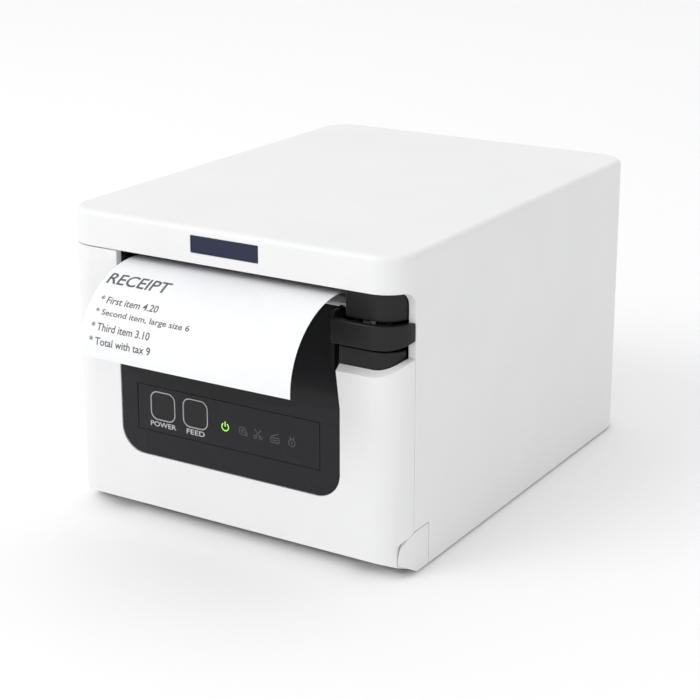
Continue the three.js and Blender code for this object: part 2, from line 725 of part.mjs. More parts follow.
const cutterReach = pitchRadius(CUTTER_GEAR_TEETH + CUTTER_MOTOR_TEETH, CUTTER_MODULE) + 0.12;
const CUTTER_MOTOR_AXIS = [
  CUTTER_AXIS[0] + cutterReach * Math.cos(CUTTER_MOTOR_TILT),
  CUTTER_AXIS[1] + cutterReach * Math.sin(CUTTER_MOTOR_TILT),
];
const CUTTER_GEAR_X = [36.5, 39.5];

function makeCutterShaft() {
  // straight down points a tooth of the rack pinions into a gap of the rack
  const pinion = gearOutline(CUTTER_AXIS, RACK_PINION_TEETH, DRIVE_MODULE, -90);
  const aim = bearingDeg(CUTTER_AXIS, CUTTER_MOTOR_AXIS);
  const wheel = gearOutline(CUTTER_AXIS, CUTTER_GEAR_TEETH, CUTTER_MODULE, aim);
  const right = prismX(pinion, RACK_X[0] + 0.2, RACK_X[1] - 0.2);
  return rodX(CUTTER_AXIS, 2, -61.2, 61.2)
    .add(right)
    .add(mirrored(right))
    .add(prismX(wheel, CUTTER_GEAR_X[0], CUTTER_GEAR_X[1]));
}

function makeCutterMotorPinion() {
  const out = bearingDeg(CUTTER_MOTOR_AXIS, CUTTER_AXIS);
  const aim = gapTowards(out, CUTTER_MOTOR_TEETH);
  const outline = gearOutline(CUTTER_MOTOR_AXIS, CUTTER_MOTOR_TEETH, CUTTER_MODULE, aim);
  const shaft = rodX(CUTTER_MOTOR_AXIS, 0.9, 34.4, CUTTER_GEAR_X[1], 12);
  return prismX(outline, CUTTER_GEAR_X[0], CUTTER_GEAR_X[1]).add(shaft);
}

piece('fixed_blade', makeFixedBlade(), 'bladeSteel');
piece('moving_blade', makeMovingBlade(), 'bladeSteel');
piece('cutter_shaft', makeCutterShaft(), 'brass');
piece('cutter_motor', motorCan(CUTTER_MOTOR_AXIS, 6.5, 8, 34, 6, 10), 'greyPlastic');
piece('cutter_motor_pinion', makeCutterMotorPinion(), 'brass');

// ---------- paper ----------
// A sheet of even thickness along a path in (y, z).
function sheetAlong(points) {
  const half = PAPER_THICKNESS / 2;
  const left = [];
  const right = [];
  points.forEach((p, i) => {
    const before = points[Math.max(i - 1, 0)];
    const after = points[Math.min(i + 1, points.length - 1)];
    const length = Math.hypot(after[0] - before[0], after[1] - before[1]);
    const normal = [-(after[1] - before[1]) / length, (after[0] - before[0]) / length];
    left.push([p[0] + normal[0] * half, p[1] + normal[1] * half]);
    right.push([p[0] - normal[0] * half, p[1] - normal[1] * half]);
  });
  const x0 = PAPER_CENTRE_X - PAPER_WIDTH / 2;
  return prismX([...left, ...right.reverse()], x0, x0 + PAPER_WIDTH);
}

const TONGUE_BOTTOM = 73;
const TONGUE_TOP = 102.2;
const TONGUE_TURN_Y = 5;

// From the nip, round the platen, through the cutter, out of the slot and down in front.
function tonguePath() {
  const wrap = arc(PLATEN_AXIS, PLATEN_RADIUS + 0.4, 2, 47, 5);
  const bend = new THREE.QuadraticBezierCurve(
    new THREE.Vector2(18.7, 97.5),
    new THREE.Vector2(13.6, TONGUE_TOP),
    new THREE.Vector2(TONGUE_TURN_Y, TONGUE_TOP),
  ).getPoints(5).map((p) => [p.x, p.y]);
  const reach = TONGUE_TURN_Y + PAPER_REACH - PAPER_THICKNESS / 2;
  const drop = TONGUE_TOP - TONGUE_BOTTOM;
  const curl = arc([0, 0], 1, 90, 180, 12).slice(1)
    .map(([c, s]) => [TONGUE_TURN_Y + reach * c, TONGUE_BOTTOM + drop * s]);
  return [...wrap, ...bend, ...curl];
}

// From the top of the roll, forward under the head and up to the nip.
function webPath() {
  const corner = [PLATEN_AXIS[0] + PLATEN_RADIUS + 0.4, 77];
  const reach = ROLL_RADIUS + 0.6;
  const distance = Math.hypot(ROLL_AXIS[0] - corner[0], ROLL_AXIS[1] - corner[1]);
  const slope = bearingDeg(corner, ROLL_AXIS) + THREE.MathUtils.radToDeg(Math.asin(reach / distance));
  const length = Math.sqrt(distance ** 2 - reach ** 2);
  const angle = THREE.MathUtils.degToRad(slope);
  const onRoll = [corner[0] + length * Math.cos(angle), corner[1] + length * Math.sin(angle)];
  const early = [corner[0] + 3 * Math.cos(angle), corner[1] + 3 * Math.sin(angle)];
  return [onRoll, early, [corner[0] + 0.7, corner[1] + 1], [corner[0], corner[1] + 3.5], [corner[0], 85.6]];
}

piece('paper_tongue', sheetAlong(tonguePath()), 'paper');
piece('paper_web', sheetAlong(webPath()), 'paper');

const CORE_OUTER = 9;
const CORE_INNER = 6.2;
const ROLL_X = [PAPER_CENTRE_X - PAPER_WIDTH / 2, PAPER_CENTRE_X + PAPER_WIDTH / 2];

function ring(outer, inner, x0, x1, sides) {
  return rodX(ROLL_AXIS, outer, x0, x1, sides).subtract(rodX(ROLL_AXIS, inner, x0 - 1, x1 + 1, sides));
}

piece('paper_roll', ring(ROLL_RADIUS, CORE_OUTER + 0.2, ...ROLL_X, 48), 'paper');
piece('roll_core', ring(CORE_OUTER, CORE_INNER, ROLL_X[0] + 0.5, ROLL_X[1] - 0.5, 32), 'card');

// ---------- roll bucket and sensor ----------
function bucketOutline(inner, outer) {
  return [
    ...arc(ROLL_AXIS, outer, 200, 360, 20), [ROLL_AXIS[0] + outer, 76],
    [ROLL_AXIS[0] + inner, 76], ...arc(ROLL_AXIS, inner, 360, 200, 20),
  ];
}

function bucketEnd(x0, x1) {
  const outline = [...arc(ROLL_AXIS, 37.8, 200, 360, 20), [ROLL_AXIS[0] + 37.8, 76], [60, 60]];
  return prismX(outline, x0, x1);
}

function makeBucket() {
  const trough = prismX(bucketOutline(35.8, 37.8), -49, 49);
  const feet = box(-40, 40, 60, 63, 3.6, 13).add(box(-40, 40, 84, 87, 3.6, 13));
  const underRoll = rodX(ROLL_AXIS, 36.8, -60, 60, 48);
  return trough.add(bucketEnd(-49, -47.2)).add(bucketEnd(47.2, 49)).add(feet.subtract(underRoll));
}

piece('roll_bucket', makeBucket(), 'blackPlastic');
piece('paper_end_sensor', box(49.4, 55, 80, 92, 18, 26), 'greyPlastic');

// ---------- boards and connectors ----------
const SOCKET_FRONT = 176;
const SOCKET_BACK = 191;
const SOCKET_BASE = 12;
const SOCKETS = [
  { name: 'power_inlet', x: -32, width: 16, height: 14, mouth: [9, 9] },
  { name: 'drawer_socket', x: -6, width: 16, height: 13, mouth: [11.6, 6.8] },
  { name: 'usb_socket', x: 20, width: 12.2, height: 11, mouth: [8.6, 7.8] },
];
const PLATE_Y = [188, 189.2];

function socketBody({ x, width, height, mouth }) {
  const shell = box(x - width / 2, x + width / 2, SOCKET_FRONT, SOCKET_BACK, SOCKET_BASE, SOCKET_BASE + height);
  const z = SOCKET_BASE + height / 2;
  const [w, h] = mouth;
  return shell.subtract(box(x - w / 2, x + w / 2, SOCKET_BACK - 12, 200, z - h / 2, z + h / 2));
}

function makeConnectorPlate() {
  const w = REAR_WINDOW;
  let plate = box(w.x0 - 3, w.x1 + 3, PLATE_Y[0], PLATE_Y[1], w.z0 - 3, w.z1 + 3);
  for (const { x, width, height } of SOCKETS) {
    const room = width / 2 + GAP;
    plate = plate.subtract(box(x - room, x + room, 180, 200, SOCKET_BASE - GAP, SOCKET_BASE + height + GAP));
  }
  return plate;
}

for (const socket of SOCKETS) {
  piece(socket.name, socketBody(socket), 'blackPlastic');
}
piece('connector_plate', makeConnectorPlate(), 'steel');
piece('interface_board', box(-50, 50, 130, 187.5, 9.8, 11.4), 'board');
piece('main_board', box(-60, 60, 124, 125.6, 8, 100), 'board');

// ---------- placing ----------
printer.position.set(0, -(DEPTH - PAPER_REACH) / 2, FOOT_HEIGHT);

export default printer;
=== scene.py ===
# %% [markdown]
# # A front-exit receipt printer
# A small counter-top printer: a white case, a front cover that tips forward on two low hinge ears, a black
# operation panel with two buttons and five status lights, and a strip of printed paper that curls out of the
# slot. The working parts come from a fixed frame, and this file gives them their finished shapes and looks.
# It is read from top to bottom, one small step at a time.

import json
import math

import bmesh
import bpy
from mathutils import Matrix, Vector

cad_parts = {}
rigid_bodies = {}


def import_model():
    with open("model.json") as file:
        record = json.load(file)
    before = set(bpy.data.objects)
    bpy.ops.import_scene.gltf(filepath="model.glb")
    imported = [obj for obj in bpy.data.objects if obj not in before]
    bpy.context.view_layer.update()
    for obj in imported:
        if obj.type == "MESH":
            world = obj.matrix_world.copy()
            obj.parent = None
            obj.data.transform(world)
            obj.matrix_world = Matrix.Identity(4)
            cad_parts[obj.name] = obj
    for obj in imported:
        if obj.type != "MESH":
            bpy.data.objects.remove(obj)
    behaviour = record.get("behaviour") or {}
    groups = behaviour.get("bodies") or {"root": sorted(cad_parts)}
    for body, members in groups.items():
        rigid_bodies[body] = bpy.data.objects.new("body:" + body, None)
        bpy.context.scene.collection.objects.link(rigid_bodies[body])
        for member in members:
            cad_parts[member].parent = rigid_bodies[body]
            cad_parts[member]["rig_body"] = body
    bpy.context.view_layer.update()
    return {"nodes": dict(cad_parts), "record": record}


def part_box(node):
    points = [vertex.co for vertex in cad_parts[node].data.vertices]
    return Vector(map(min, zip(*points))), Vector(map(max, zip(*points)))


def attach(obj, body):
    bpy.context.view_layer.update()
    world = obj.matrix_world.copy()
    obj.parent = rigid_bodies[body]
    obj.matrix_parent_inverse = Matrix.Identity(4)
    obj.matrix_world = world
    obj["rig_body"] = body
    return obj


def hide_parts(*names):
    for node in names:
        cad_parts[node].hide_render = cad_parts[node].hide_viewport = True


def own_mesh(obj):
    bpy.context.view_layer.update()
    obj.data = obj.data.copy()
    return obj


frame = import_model()
NODES = frame["nodes"]

# %% [markdown]
# ## Measuring from the case
# All sizes below are millimetres, measured from the case: x from its middle to the right, y from its front
# face to the back, z from its lower edge up. The frame says where the case stands, so one small function
# turns such a place into the frame's metres, and another turns it back.

# %% Millimetres and places
MM = 0.001
CASE_LOW, CASE_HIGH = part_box("case_shell")
HALF = CASE_HIGH.x / MM
DEPTH = (CASE_HIGH.y - CASE_LOW.y) / MM
HEIGHT = (CASE_HIGH.z - CASE_LOW.z) / MM


def at(x, y, z):
    """The place x, y, z millimetres from the foot of the case's front face."""
    return Vector((x * MM, CASE_LOW.y + y * MM, CASE_LOW.z + z * MM))


def in_mm(place):
    """The same place, back in millimetres."""
    return Vector((place.x, place.y - CASE_LOW.y, place.z - CASE_LOW.z)) / MM


def span(node, axis):
    """How far a CAD node reaches along one axis, as (low, high) in millimetres."""
    low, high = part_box(node)
    return in_mm(low)[axis], in_mm(high)[axis]


print("case:", round(2 * HALF, 1), "x", round(DEPTH, 1), "x", round(HEIGHT, 1), "mm")

# %% [markdown]
# ## Camera
# The eye stands a little above the printer and to its right, with a long lens, so the upright edges stay
# almost parallel. A small downward shift of the lens keeps the printer in the middle of a square picture.

# %% Camera
EYE = Vector((0.35587, -0.57498, 0.27697))
EYE_AZIMUTH = math.radians(31.6)
EYE_ELEVATION = math.radians(15.67)
LENS_MM = 90.47
LENS_SHIFT = -0.12

back = Vector((
    math.sin(EYE_AZIMUTH) * math.cos(EYE_ELEVATION),
    -math.cos(EYE_AZIMUTH) * math.cos(EYE_ELEVATION),
    math.sin(EYE_ELEVATION),
))
bpy.ops.object.select_all(action="DESELECT")
bpy.ops.object.camera_add(location=EYE, rotation=(-back).to_track_quat("-Z", "Y").to_euler())
camera = bpy.context.object
camera.name = "studio_camera"
camera.data.lens = LENS_MM
camera.data.sensor_width = 36
camera.data.shift_y = LENS_SHIFT
camera.data.clip_start = 0.01
bpy.context.scene.camera = camera
print("camera:", LENS_MM, "mm lens")

# %% [markdown]
# ## Floor and light
# A white product is read by small steps of grey, so the light is broad and even: a pale sky all round, one
# large soft lamp in front on the left that lifts the front and the top, and a weak one behind on the right.

# %% Floor and light
FLOOR_SIZE = 24.0
SKY_STRENGTH = 0.93
LAMPS = {
    "key_lamp": {"place": (-0.9, -1.5, 1.6), "size": 1.4, "watts": 13.5},
    "top_lamp": {"place": (-0.1, 0.3, 2.0), "size": 1.8, "watts": 0.4},
    "edge_lamp": {"place": (1.5, 0.5, 0.9), "size": 0.9, "watts": 0.1},
}

bpy.ops.mesh.primitive_plane_add(size=FLOOR_SIZE, location=(0, 0, 0))
floor = bpy.context.object
floor.name = "studio_floor"

floor_paint = bpy.data.materials.new("studio_floor_paint")
floor_paint.use_nodes = True
floor_shader = floor_paint.node_tree.nodes["Principled BSDF"]
floor_shader.inputs["Base Color"].default_value = (0.97, 0.97, 0.972, 1)
floor_shader.inputs["Roughness"].default_value = 0.9
floor_shader.inputs["Specular IOR Level"].default_value = 0.1
floor.data.materials.append(floor_paint)

CARDS = {
    "side_card": {"place": (1.3, 0.5, 0.6), "size": 1.5, "turn": (0, math.pi / 2, 0), "grey": 0.5},
}
for name, card in CARDS.items():
    bpy.ops.mesh.primitive_plane_add(size=card["size"], location=card["place"], rotation=card["turn"])
    sheet = bpy.context.object
    sheet.name = name
    card_paint = bpy.data.materials.new(f"{name}_paint")
    card_paint.use_nodes = True
    card_shader = card_paint.node_tree.nodes["Principled BSDF"]
    card_shader.inputs["Base Color"].default_value = (*[card["grey"]] * 3, 1)
    card_shader.inputs["Roughness"].default_value = 0.9
    sheet.data.materials.append(card_paint)

sky = bpy.data.worlds.new("studio_sky")
sky.use_nodes = True
sky.node_tree.nodes["Background"].inputs["Color"].default_value = (1.0, 1.0, 1.0, 1)
sky.node_tree.nodes["Background"].inputs["Strength"].default_value = SKY_STRENGTH
bpy.context.scene.world = sky
bpy.context.scene.view_settings.view_transform = "Standard"

AIM = Vector((0, 0, 0.06))
for name, lamp in LAMPS.items():
    place = Vector(lamp["place"])
    turn = (AIM - place).to_track_quat("-Z", "Y").to_euler()
    bpy.ops.object.light_add(type="AREA", location=place, rotation=turn)
    light = bpy.context.object
    light.name = name
    light.data.shape = "DISK"
    light.data.size = lamp["size"]
    light.data.energy = lamp["watts"]
print("lamps:", ", ".join(LAMPS))

# %% [markdown]
# ## Modelling tools
# Each piece starts as a primitive at its size and place. Edges or faces are picked by where they lie, then
# bevelled, inset or cut. These few helpers wrap the operators so that the cells below stay short.

# %% Starting shapes
VERTICAL = 2


def make_active(obj):
    bpy.ops.object.select_all(action="DESELECT")
    obj.select_set(True)
    bpy.context.view_layer.objects.active = obj


def apply_place(obj, name):
    """Puts a new primitive's place and size into its mesh."""
    make_active(obj)
    bpy.ops.object.transform_apply(location=True, rotation=True, scale=True)
    obj.name = name
    obj.data.name = name
    return obj


def block(name, x, y, z):
    """A cube primitive that fills x, y and z, each (low, high)."""
    low, high = at(x[0], y[0], z[0]), at(x[1], y[1], z[1])
    bpy.ops.object.select_all(action="DESELECT")
    bpy.ops.mesh.primitive_cube_add(size=1, location=(low + high) / 2, scale=high - low)
    return apply_place(bpy.context.object, name)


def around(centre, width):
    """The (low, high) that a width takes up about its centre."""
    return centre - width / 2, centre + width / 2


def on_side(side, near, far):
    """Two distances from the middle, as (low, high) on the right (1) or the left (-1)."""
    return sorted((side * near, side * far))


def rod(name, centre, radius, x, sides=48):
    """A cylinder primitive along x, about centre = (y, z)."""
    place = at((x[0] + x[1]) / 2, *centre)
    bpy.ops.object.select_all(action="DESELECT")
    bpy.ops.mesh.primitive_cylinder_add(
        vertices=sides, radius=radius * MM, depth=(x[1] - x[0]) * MM,
        location=place, rotation=(0, math.pi / 2, 0))
    return apply_place(bpy.context.object, name)


def post(name, centre, radius, z, sides=48):
    """A cylinder primitive that stands up, about centre = (x, y)."""
    place = at(*centre, (z[0] + z[1]) / 2)
    bpy.ops.object.select_all(action="DESELECT")
    bpy.ops.mesh.primitive_cylinder_add(
        vertices=sides, radius=radius * MM, depth=(z[1] - z[0]) * MM, location=place)
    return apply_place(bpy.context.object, name)


def prism(name, outline, axis, low, high):
    """A flat outline across an axis, filled and pulled through from low to high."""
    across = [i for i in range(3) if i != axis]
    bpy.ops.object.select_all(action="DESELECT")
    bpy.ops.mesh.primitive_circle_add(vertices=len(outline), radius=MM, fill_type="NGON")
    obj = bpy.context.object
    obj.name = name
    for vertex, point in zip(obj.data.vertices, outline):
        place = [low, low, low]
        place[across[0]], place[across[1]] = point
        vertex.co = at(*place)
    pull = [0.0, 0.0, 0.0]
    pull[axis] = (high - low) * MM
    bpy.ops.object.mode_set(mode="EDIT")
    bpy.ops.mesh.select_all(action="SELECT")
    bpy.ops.mesh.extrude_region_move(TRANSFORM_OT_translate={"value": pull})
    bpy.ops.mesh.select_all(action="SELECT")
    bpy.ops.mesh.normals_make_consistent(inside=False)
    bpy.ops.object.mode_set(mode="OBJECT")
    return obj


def arc(centre, radius, start, end, steps):
    """Points of an outline round a centre, from one angle to another, in degrees."""
    angles = [math.radians(start + (end - start) * i / steps) for i in range(steps + 1)]
    return [(centre[0] + radius * math.cos(a), centre[1] + radius * math.sin(a)) for a in angles]


print("starting shapes: block, rod, post, prism")

# %% [markdown]
# Picking is the code's way to click on a part of a mesh. A test looks at one edge or face and answers yes
# or no; what it accepts is selected, and the operator that follows works on that alone.

# %% Picking and rounding
def middle(item):
    """The middle of an edge or face, in millimetres from the case."""
    points = [v.co for v in item.verts]
    return in_mm(sum(points, Vector()) / len(points))


def runs_along(edge, axis):
    step = edge.verts[1].co - edge.verts[0].co
    return abs(step[axis]) > 0.99 * step.length


def pick(obj, kind, test):
    """Opens obj in edit mode with only the edges or faces that pass the test selected."""
    make_active(obj)
    bpy.ops.object.mode_set(mode="EDIT")
    bpy.ops.mesh.select_mode(type=kind)
    bpy.ops.mesh.select_all(action="DESELECT")
    mesh = bmesh.from_edit_mesh(obj.data)
    for item in (mesh.edges if kind == "EDGE" else mesh.faces):
        if test(item):
            item.select_set(True)
    bmesh.update_edit_mesh(obj.data)


def open_whole(obj):
    """Opens obj in edit mode with everything selected."""
    make_active(obj)
    bpy.ops.object.mode_set(mode="EDIT")
    bpy.ops.mesh.select_all(action="SELECT")


def done():
    bpy.ops.object.mode_set(mode="OBJECT")


def round_edges(obj, test, radius, segments=8):
    """Bevels the picked edges to a radius."""
    pick(obj, "EDGE", test)
    bpy.ops.mesh.bevel(offset=radius * MM, segments=segments, profile=0.5, affect="EDGES")
    done()
    return obj


def delete_faces(obj, test):
    pick(obj, "FACE", test)
    bpy.ops.mesh.delete(type="FACE")
    done()


def facing(*normal):
    """A test for faces that look one way."""
    direction = Vector(normal)
    return lambda face: face.normal.dot(direction) > 0.99


def face_outward(obj):
    """Turns every face's normal to the outside."""
    open_whole(obj)
    bpy.ops.mesh.normals_make_consistent(inside=False)
    done()


print("picking: edges and faces by place or normal")

# %% [markdown]
# Modifiers finish a piece: Boolean cuts a window or joins a rib, Solidify gives a skin its wall, and a fine
# Bevel breaks every sharp edge. No moulded edge is truly sharp, and the thin bright line that a rounded edge
# catches is much of what makes a plastic part look real. Weighted normals keep the wide faces flat.

# %% Modifiers
def apply_modifier(obj, kind, **settings):
    make_active(obj)
    modifier = obj.modifiers.new(kind.lower(), kind)
    for key, value in settings.items():
        setattr(modifier, key, value)
    bpy.ops.object.modifier_apply(modifier=modifier.name)
    return obj


def combine(obj, others, operation):
    for other in others:
        apply_modifier(obj, "BOOLEAN", operation=operation, solver="MANIFOLD", object=other)
        bpy.data.objects.remove(other)
    return obj


def carve(obj, *cutters):
    return combine(obj, cutters, "DIFFERENCE")


def weld(obj, *others):
    return combine(obj, others, "UNION")


def keep_within(obj, other):
    return combine(obj, [other], "INTERSECT")


def wall(obj, thickness):
    """Gives an open skin its wall, inwards."""
    return apply_modifier(
        obj, "SOLIDIFY", thickness=thickness * MM, offset=-1, use_even_offset=True)


def tidy(obj):
    """Merges the points that a cut left on top of each other."""
    open_whole(obj)
    bpy.ops.mesh.remove_doubles(threshold=0.004 * MM)
    bpy.ops.mesh.dissolve_limited(angle_limit=math.radians(0.5))
    bpy.ops.mesh.normals_make_consistent(inside=False)
    bpy.ops.object.mode_set(mode="OBJECT")


def break_edges(obj, width, segments=2, angle=35):
    """Rounds every sharp edge a little and shades the result smoothly."""
    tidy(obj)
    if width:
        apply_modifier(
            obj, "BEVEL", width=width * MM, segments=segments, limit_method="ANGLE",
            angle_limit=math.radians(angle), use_clamp_overlap=False, miter_outer="MITER_ARC")
    make_active(obj)
    bpy.ops.object.shade_smooth_by_angle(angle=math.radians(angle + 5))
    return apply_modifier(obj, "WEIGHTED_NORMAL", keep_sharp=True)


print("modifiers: carve, weld, wall, break_edges")

# %% [markdown]
# ## Finishes: shared effects
# Real surfaces are never one flat value. Four effects are used again and again, so each is a node group:
# a moulded grain, rubbed edges, drawn metal and paper fibre. Each group only gives out values; the shader
# itself stays in the material, where the effects are put together.

# %% Node group tools
def new_group(name, inputs, outputs):
    """An empty node group with named float inputs and outputs."""
    tree = bpy.data.node_groups.new(name, "ShaderNodeTree")
    for label, value in inputs.items():
        socket = tree.interface.new_socket(label, in_out="INPUT", socket_type="NodeSocketFloat")
        socket.default_value = value
    for label in outputs:
        tree.interface.new_socket(label, in_out="OUTPUT", socket_type="NodeSocketFloat")
    return tree, tree.nodes.new("NodeGroupInput"), tree.nodes.new("NodeGroupOutput")


def math_node(tree, operation, a, b=None, clamp=False):
    node = tree.nodes.new("ShaderNodeMath")
    node.operation = operation
    node.use_clamp = clamp
    for socket, value in zip(node.inputs, (a, b)):
        if isinstance(value, bpy.types.NodeSocket):
            tree.links.new(value, socket)
        elif value is not None:
            socket.default_value = value
    return node.outputs[0]


def noise_node(tree, scale, detail=2.0, stretch=(1, 1, 1), centre=None):
    """Noise on object coordinates; stretch scales the pattern along x, y and z."""
    coords = tree.nodes.new("ShaderNodeTexCoord")
    mapping = tree.nodes.new("ShaderNodeMapping")
    mapping.inputs["Scale"].default_value = stretch
    if centre:
        mapping.inputs["Location"].default_value = centre
    noise = tree.nodes.new("ShaderNodeTexNoise")
    noise.inputs["Detail"].default_value = detail
    tree.links.new(coords.outputs["Object"], mapping.inputs["Vector"])
    tree.links.new(mapping.outputs["Vector"], noise.inputs["Vector"])
    if isinstance(scale, bpy.types.NodeSocket):
        tree.links.new(scale, noise.inputs["Scale"])
    else:
        noise.inputs["Scale"].default_value = scale
    return noise.outputs["Fac"]


print("node group tools ready")

# %% [markdown]
# **Moulded grain.** The mould of a plastic case is spark-eroded, so the part carries a fine even grain of
# about a third of a millimetre, and the plastic's gloss drifts a little over larger patches.

# %% Group: moulded grain
moulded_grain, inside, outside = new_group(
    "moulded_grain", {"Grain per metre": 2600.0}, ["Height", "Drift"])
fine = noise_node(moulded_grain, inside.outputs["Grain per metre"], detail=3.0)
finer_scale = math_node(moulded_grain, "MULTIPLY", inside.outputs["Grain per metre"], 2.7)
finer = noise_node(moulded_grain, finer_scale, detail=1.0)
weighted = math_node(moulded_grain, "MULTIPLY", finer, 0.4)
grain = math_node(moulded_grain, "ADD", fine, weighted)
drift = noise_node(moulded_grain, 28.0, detail=3.0)
moulded_grain.links.new(grain, outside.inputs["Height"])
moulded_grain.links.new(drift, outside.inputs["Drift"])
print("group:", moulded_grain.name)

# %% [markdown]
# **Rubbed edges.** Hands polish the edges of a part first. The Bevel node gives the normal that a rounder
# edge would have; where it differs from the true one there is an edge. A patchy noise breaks the line up.

# %% Group: rubbed edges
rubbed_edges, inside, outside = new_group("rubbed_edges", {"Width": 0.0006}, ["Mask"])
rounder = rubbed_edges.nodes.new("ShaderNodeBevel")
rounder.samples = 4
rubbed_edges.links.new(inside.outputs["Width"], rounder.inputs["Radius"])
here = rubbed_edges.nodes.new("ShaderNodeNewGeometry")
likeness = rubbed_edges.nodes.new("ShaderNodeVectorMath")
likeness.operation = "DOT_PRODUCT"
rubbed_edges.links.new(rounder.outputs["Normal"], likeness.inputs[0])
rubbed_edges.links.new(here.outputs["Normal"], likeness.inputs[1])
difference = math_node(rubbed_edges, "SUBTRACT", 1.0, likeness.outputs["Value"])
edge = math_node(rubbed_edges, "MULTIPLY", difference, 5.0, clamp=True)
patches = noise_node(rubbed_edges, 420.0, detail=4.0)
patchy = math_node(rubbed_edges, "MULTIPLY", patches, 1.3, clamp=True)
rubbed = math_node(rubbed_edges, "MULTIPLY", edge, patchy)
rubbed_edges.links.new(rubbed, outside.inputs["Mask"])
print("group:", rubbed_edges.name)

# %% [markdown]
# **Drawn metal.** Sheet steel and turned shafts show long fine lines in the direction in which they were
# rolled or drawn. A noise squeezed hard across the lines gives them.

# %% Group: drawn metal
drawn_metal, inside, outside = new_group("drawn_metal", {"Line density": 1.0}, ["Height", "Tone"])
density = math_node(drawn_metal, "MULTIPLY", inside.outputs["Line density"], 60.0)
lines = noise_node(drawn_metal, density, detail=5.0, stretch=(1, 42, 42))
stains = noise_node(drawn_metal, 45.0, detail=4.0)
drawn_metal.links.new(lines, outside.inputs["Height"])
drawn_metal.links.new(stains, outside.inputs["Tone"])
print("group:", drawn_metal.name)

# %% [markdown]
# **Paper fibre.** Thermal paper is smooth but not perfect: fibres under the coating give it a cloudy look
# when light passes along it, and the surface has a very fine tooth.

# %% Group: paper fibre
paper_fibre, inside, outside = new_group("paper_fibre", {"Fibres per metre": 900.0}, ["Height", "Cloud"])
fibres = noise_node(paper_fibre, inside.outputs["Fibres per metre"], detail=6.0, stretch=(1, 0.4, 0.4))
cloud = noise_node(paper_fibre, 130.0, detail=3.0)
paper_fibre.links.new(fibres, outside.inputs["Height"])
paper_fibre.links.new(cloud, outside.inputs["Cloud"])
print("group:", paper_fibre.name)

# %% [markdown]
# ## Finishes: materials
# A material tool places the groups in a Principled shader. The plain values sit on the shader's own sockets,
# and only what changes over the surface is linked: colour, roughness and the bump.

# %% Material tools
def start_material(name, metallic=0.0, **sockets):
    material = bpy.data.materials.new(name)
    material.use_nodes = True
    shader = material.node_tree.nodes["Principled BSDF"]
    shader.inputs["Metallic"].default_value = metallic
    for label, value in sockets.items():
        shader.inputs[label.replace("_", " ")].default_value = value
    return material, material.node_tree, shader


def place_group(tree, group, **values):
    node = tree.nodes.new("ShaderNodeGroup")
    node.node_tree = group
    for label, value in values.items():
        node.inputs[label.replace("_", " ")].default_value = value
    return node


def mix_colours(tree, factor, first, second):
    node = tree.nodes.new("ShaderNodeMix")
    node.data_type = "RGBA"
    tree.links.new(factor, node.inputs["Factor"])
    colour_a, colour_b = [s for s in node.inputs if s.type == "RGBA"]
    for socket, value in ((colour_a, first), (colour_b, second)):
        if isinstance(value, bpy.types.NodeSocket):
            tree.links.new(value, socket)
        else:
            socket.default_value = (*value, 1)
    return [s for s in node.outputs if s.type == "RGBA"][0]


def spread(tree, value, low, high):
    """A 0 to 1 value, stretched to run from low to high."""
    node = tree.nodes.new("ShaderNodeMapRange")
    node.inputs["From Min"].default_value = 0.25
    node.inputs["From Max"].default_value = 0.75
    node.inputs["To Min"].default_value = low
    node.inputs["To Max"].default_value = high
    tree.links.new(value, node.inputs["Value"])
    return node.outputs["Result"]


def bump(tree, shader, height, depth_mm, strength=1.0):
    node = tree.nodes.new("ShaderNodeBump")
    node.inputs["Distance"].default_value = depth_mm * MM
    node.inputs["Strength"].default_value = strength
    tree.links.new(height, node.inputs["Height"])
    tree.links.new(node.outputs["Normal"], shader.inputs["Normal"])


def worn_colour(tree, shader, drift, dull, colour, worn, rub):
    """A colour that drifts over the surface and gives way to another on rubbed edges."""
    edges = place_group(tree, rubbed_edges)
    body_colour = mix_colours(tree, spread(tree, drift, 0.0, 1.0), dull, colour)
    amount = math_node(tree, "MULTIPLY", edges.outputs["Mask"], rub)
    tree.links.new(mix_colours(tree, amount, body_colour, worn), shader.inputs["Base Color"])
    return edges.outputs["Mask"]


def plastic(name, colour, roughness, grain=2600.0, depth=0.012, rub=0.25, rub_colour=None, **sockets):
    """Moulded plastic: a grain, a drifting gloss and slightly rubbed edges."""
    material, tree, shader = start_material(name, **sockets)
    skin = place_group(tree, moulded_grain, Grain_per_metre=grain)
    darker = tuple(c * 0.965 for c in colour)
    worn = rub_colour or tuple(min(1.0, c * 1.15 + 0.02) for c in colour)
    mask = worn_colour(tree, shader, skin.outputs["Drift"], darker, colour, worn, rub)
    gloss = spread(tree, skin.outputs["Drift"], roughness - 0.035, roughness + 0.035)
    polish = math_node(tree, "MULTIPLY", mask, 0.12)
    tree.links.new(math_node(tree, "SUBTRACT", gloss, polish), shader.inputs["Roughness"])
    bump(tree, shader, skin.outputs["Height"], depth)
    return material


def metal(name, colour, roughness, density=1.0, depth=0.006, rub=0.35):
    """Drawn or rolled metal: fine lines, faint stains and bright edges."""
    material, tree, shader = start_material(name, metallic=1.0)
    drawn = place_group(tree, drawn_metal, Line_density=density)
    dull = tuple(c * 0.82 for c in colour)
    bright = tuple(min(1.0, c * 1.12) for c in colour)
    worn_colour(tree, shader, drawn.outputs["Tone"], dull, colour, bright, rub)
    gloss = spread(tree, drawn.outputs["Height"], roughness - 0.06, roughness + 0.08)
    tree.links.new(gloss, shader.inputs["Roughness"])
    bump(tree, shader, drawn.outputs["Height"], depth)
    return material


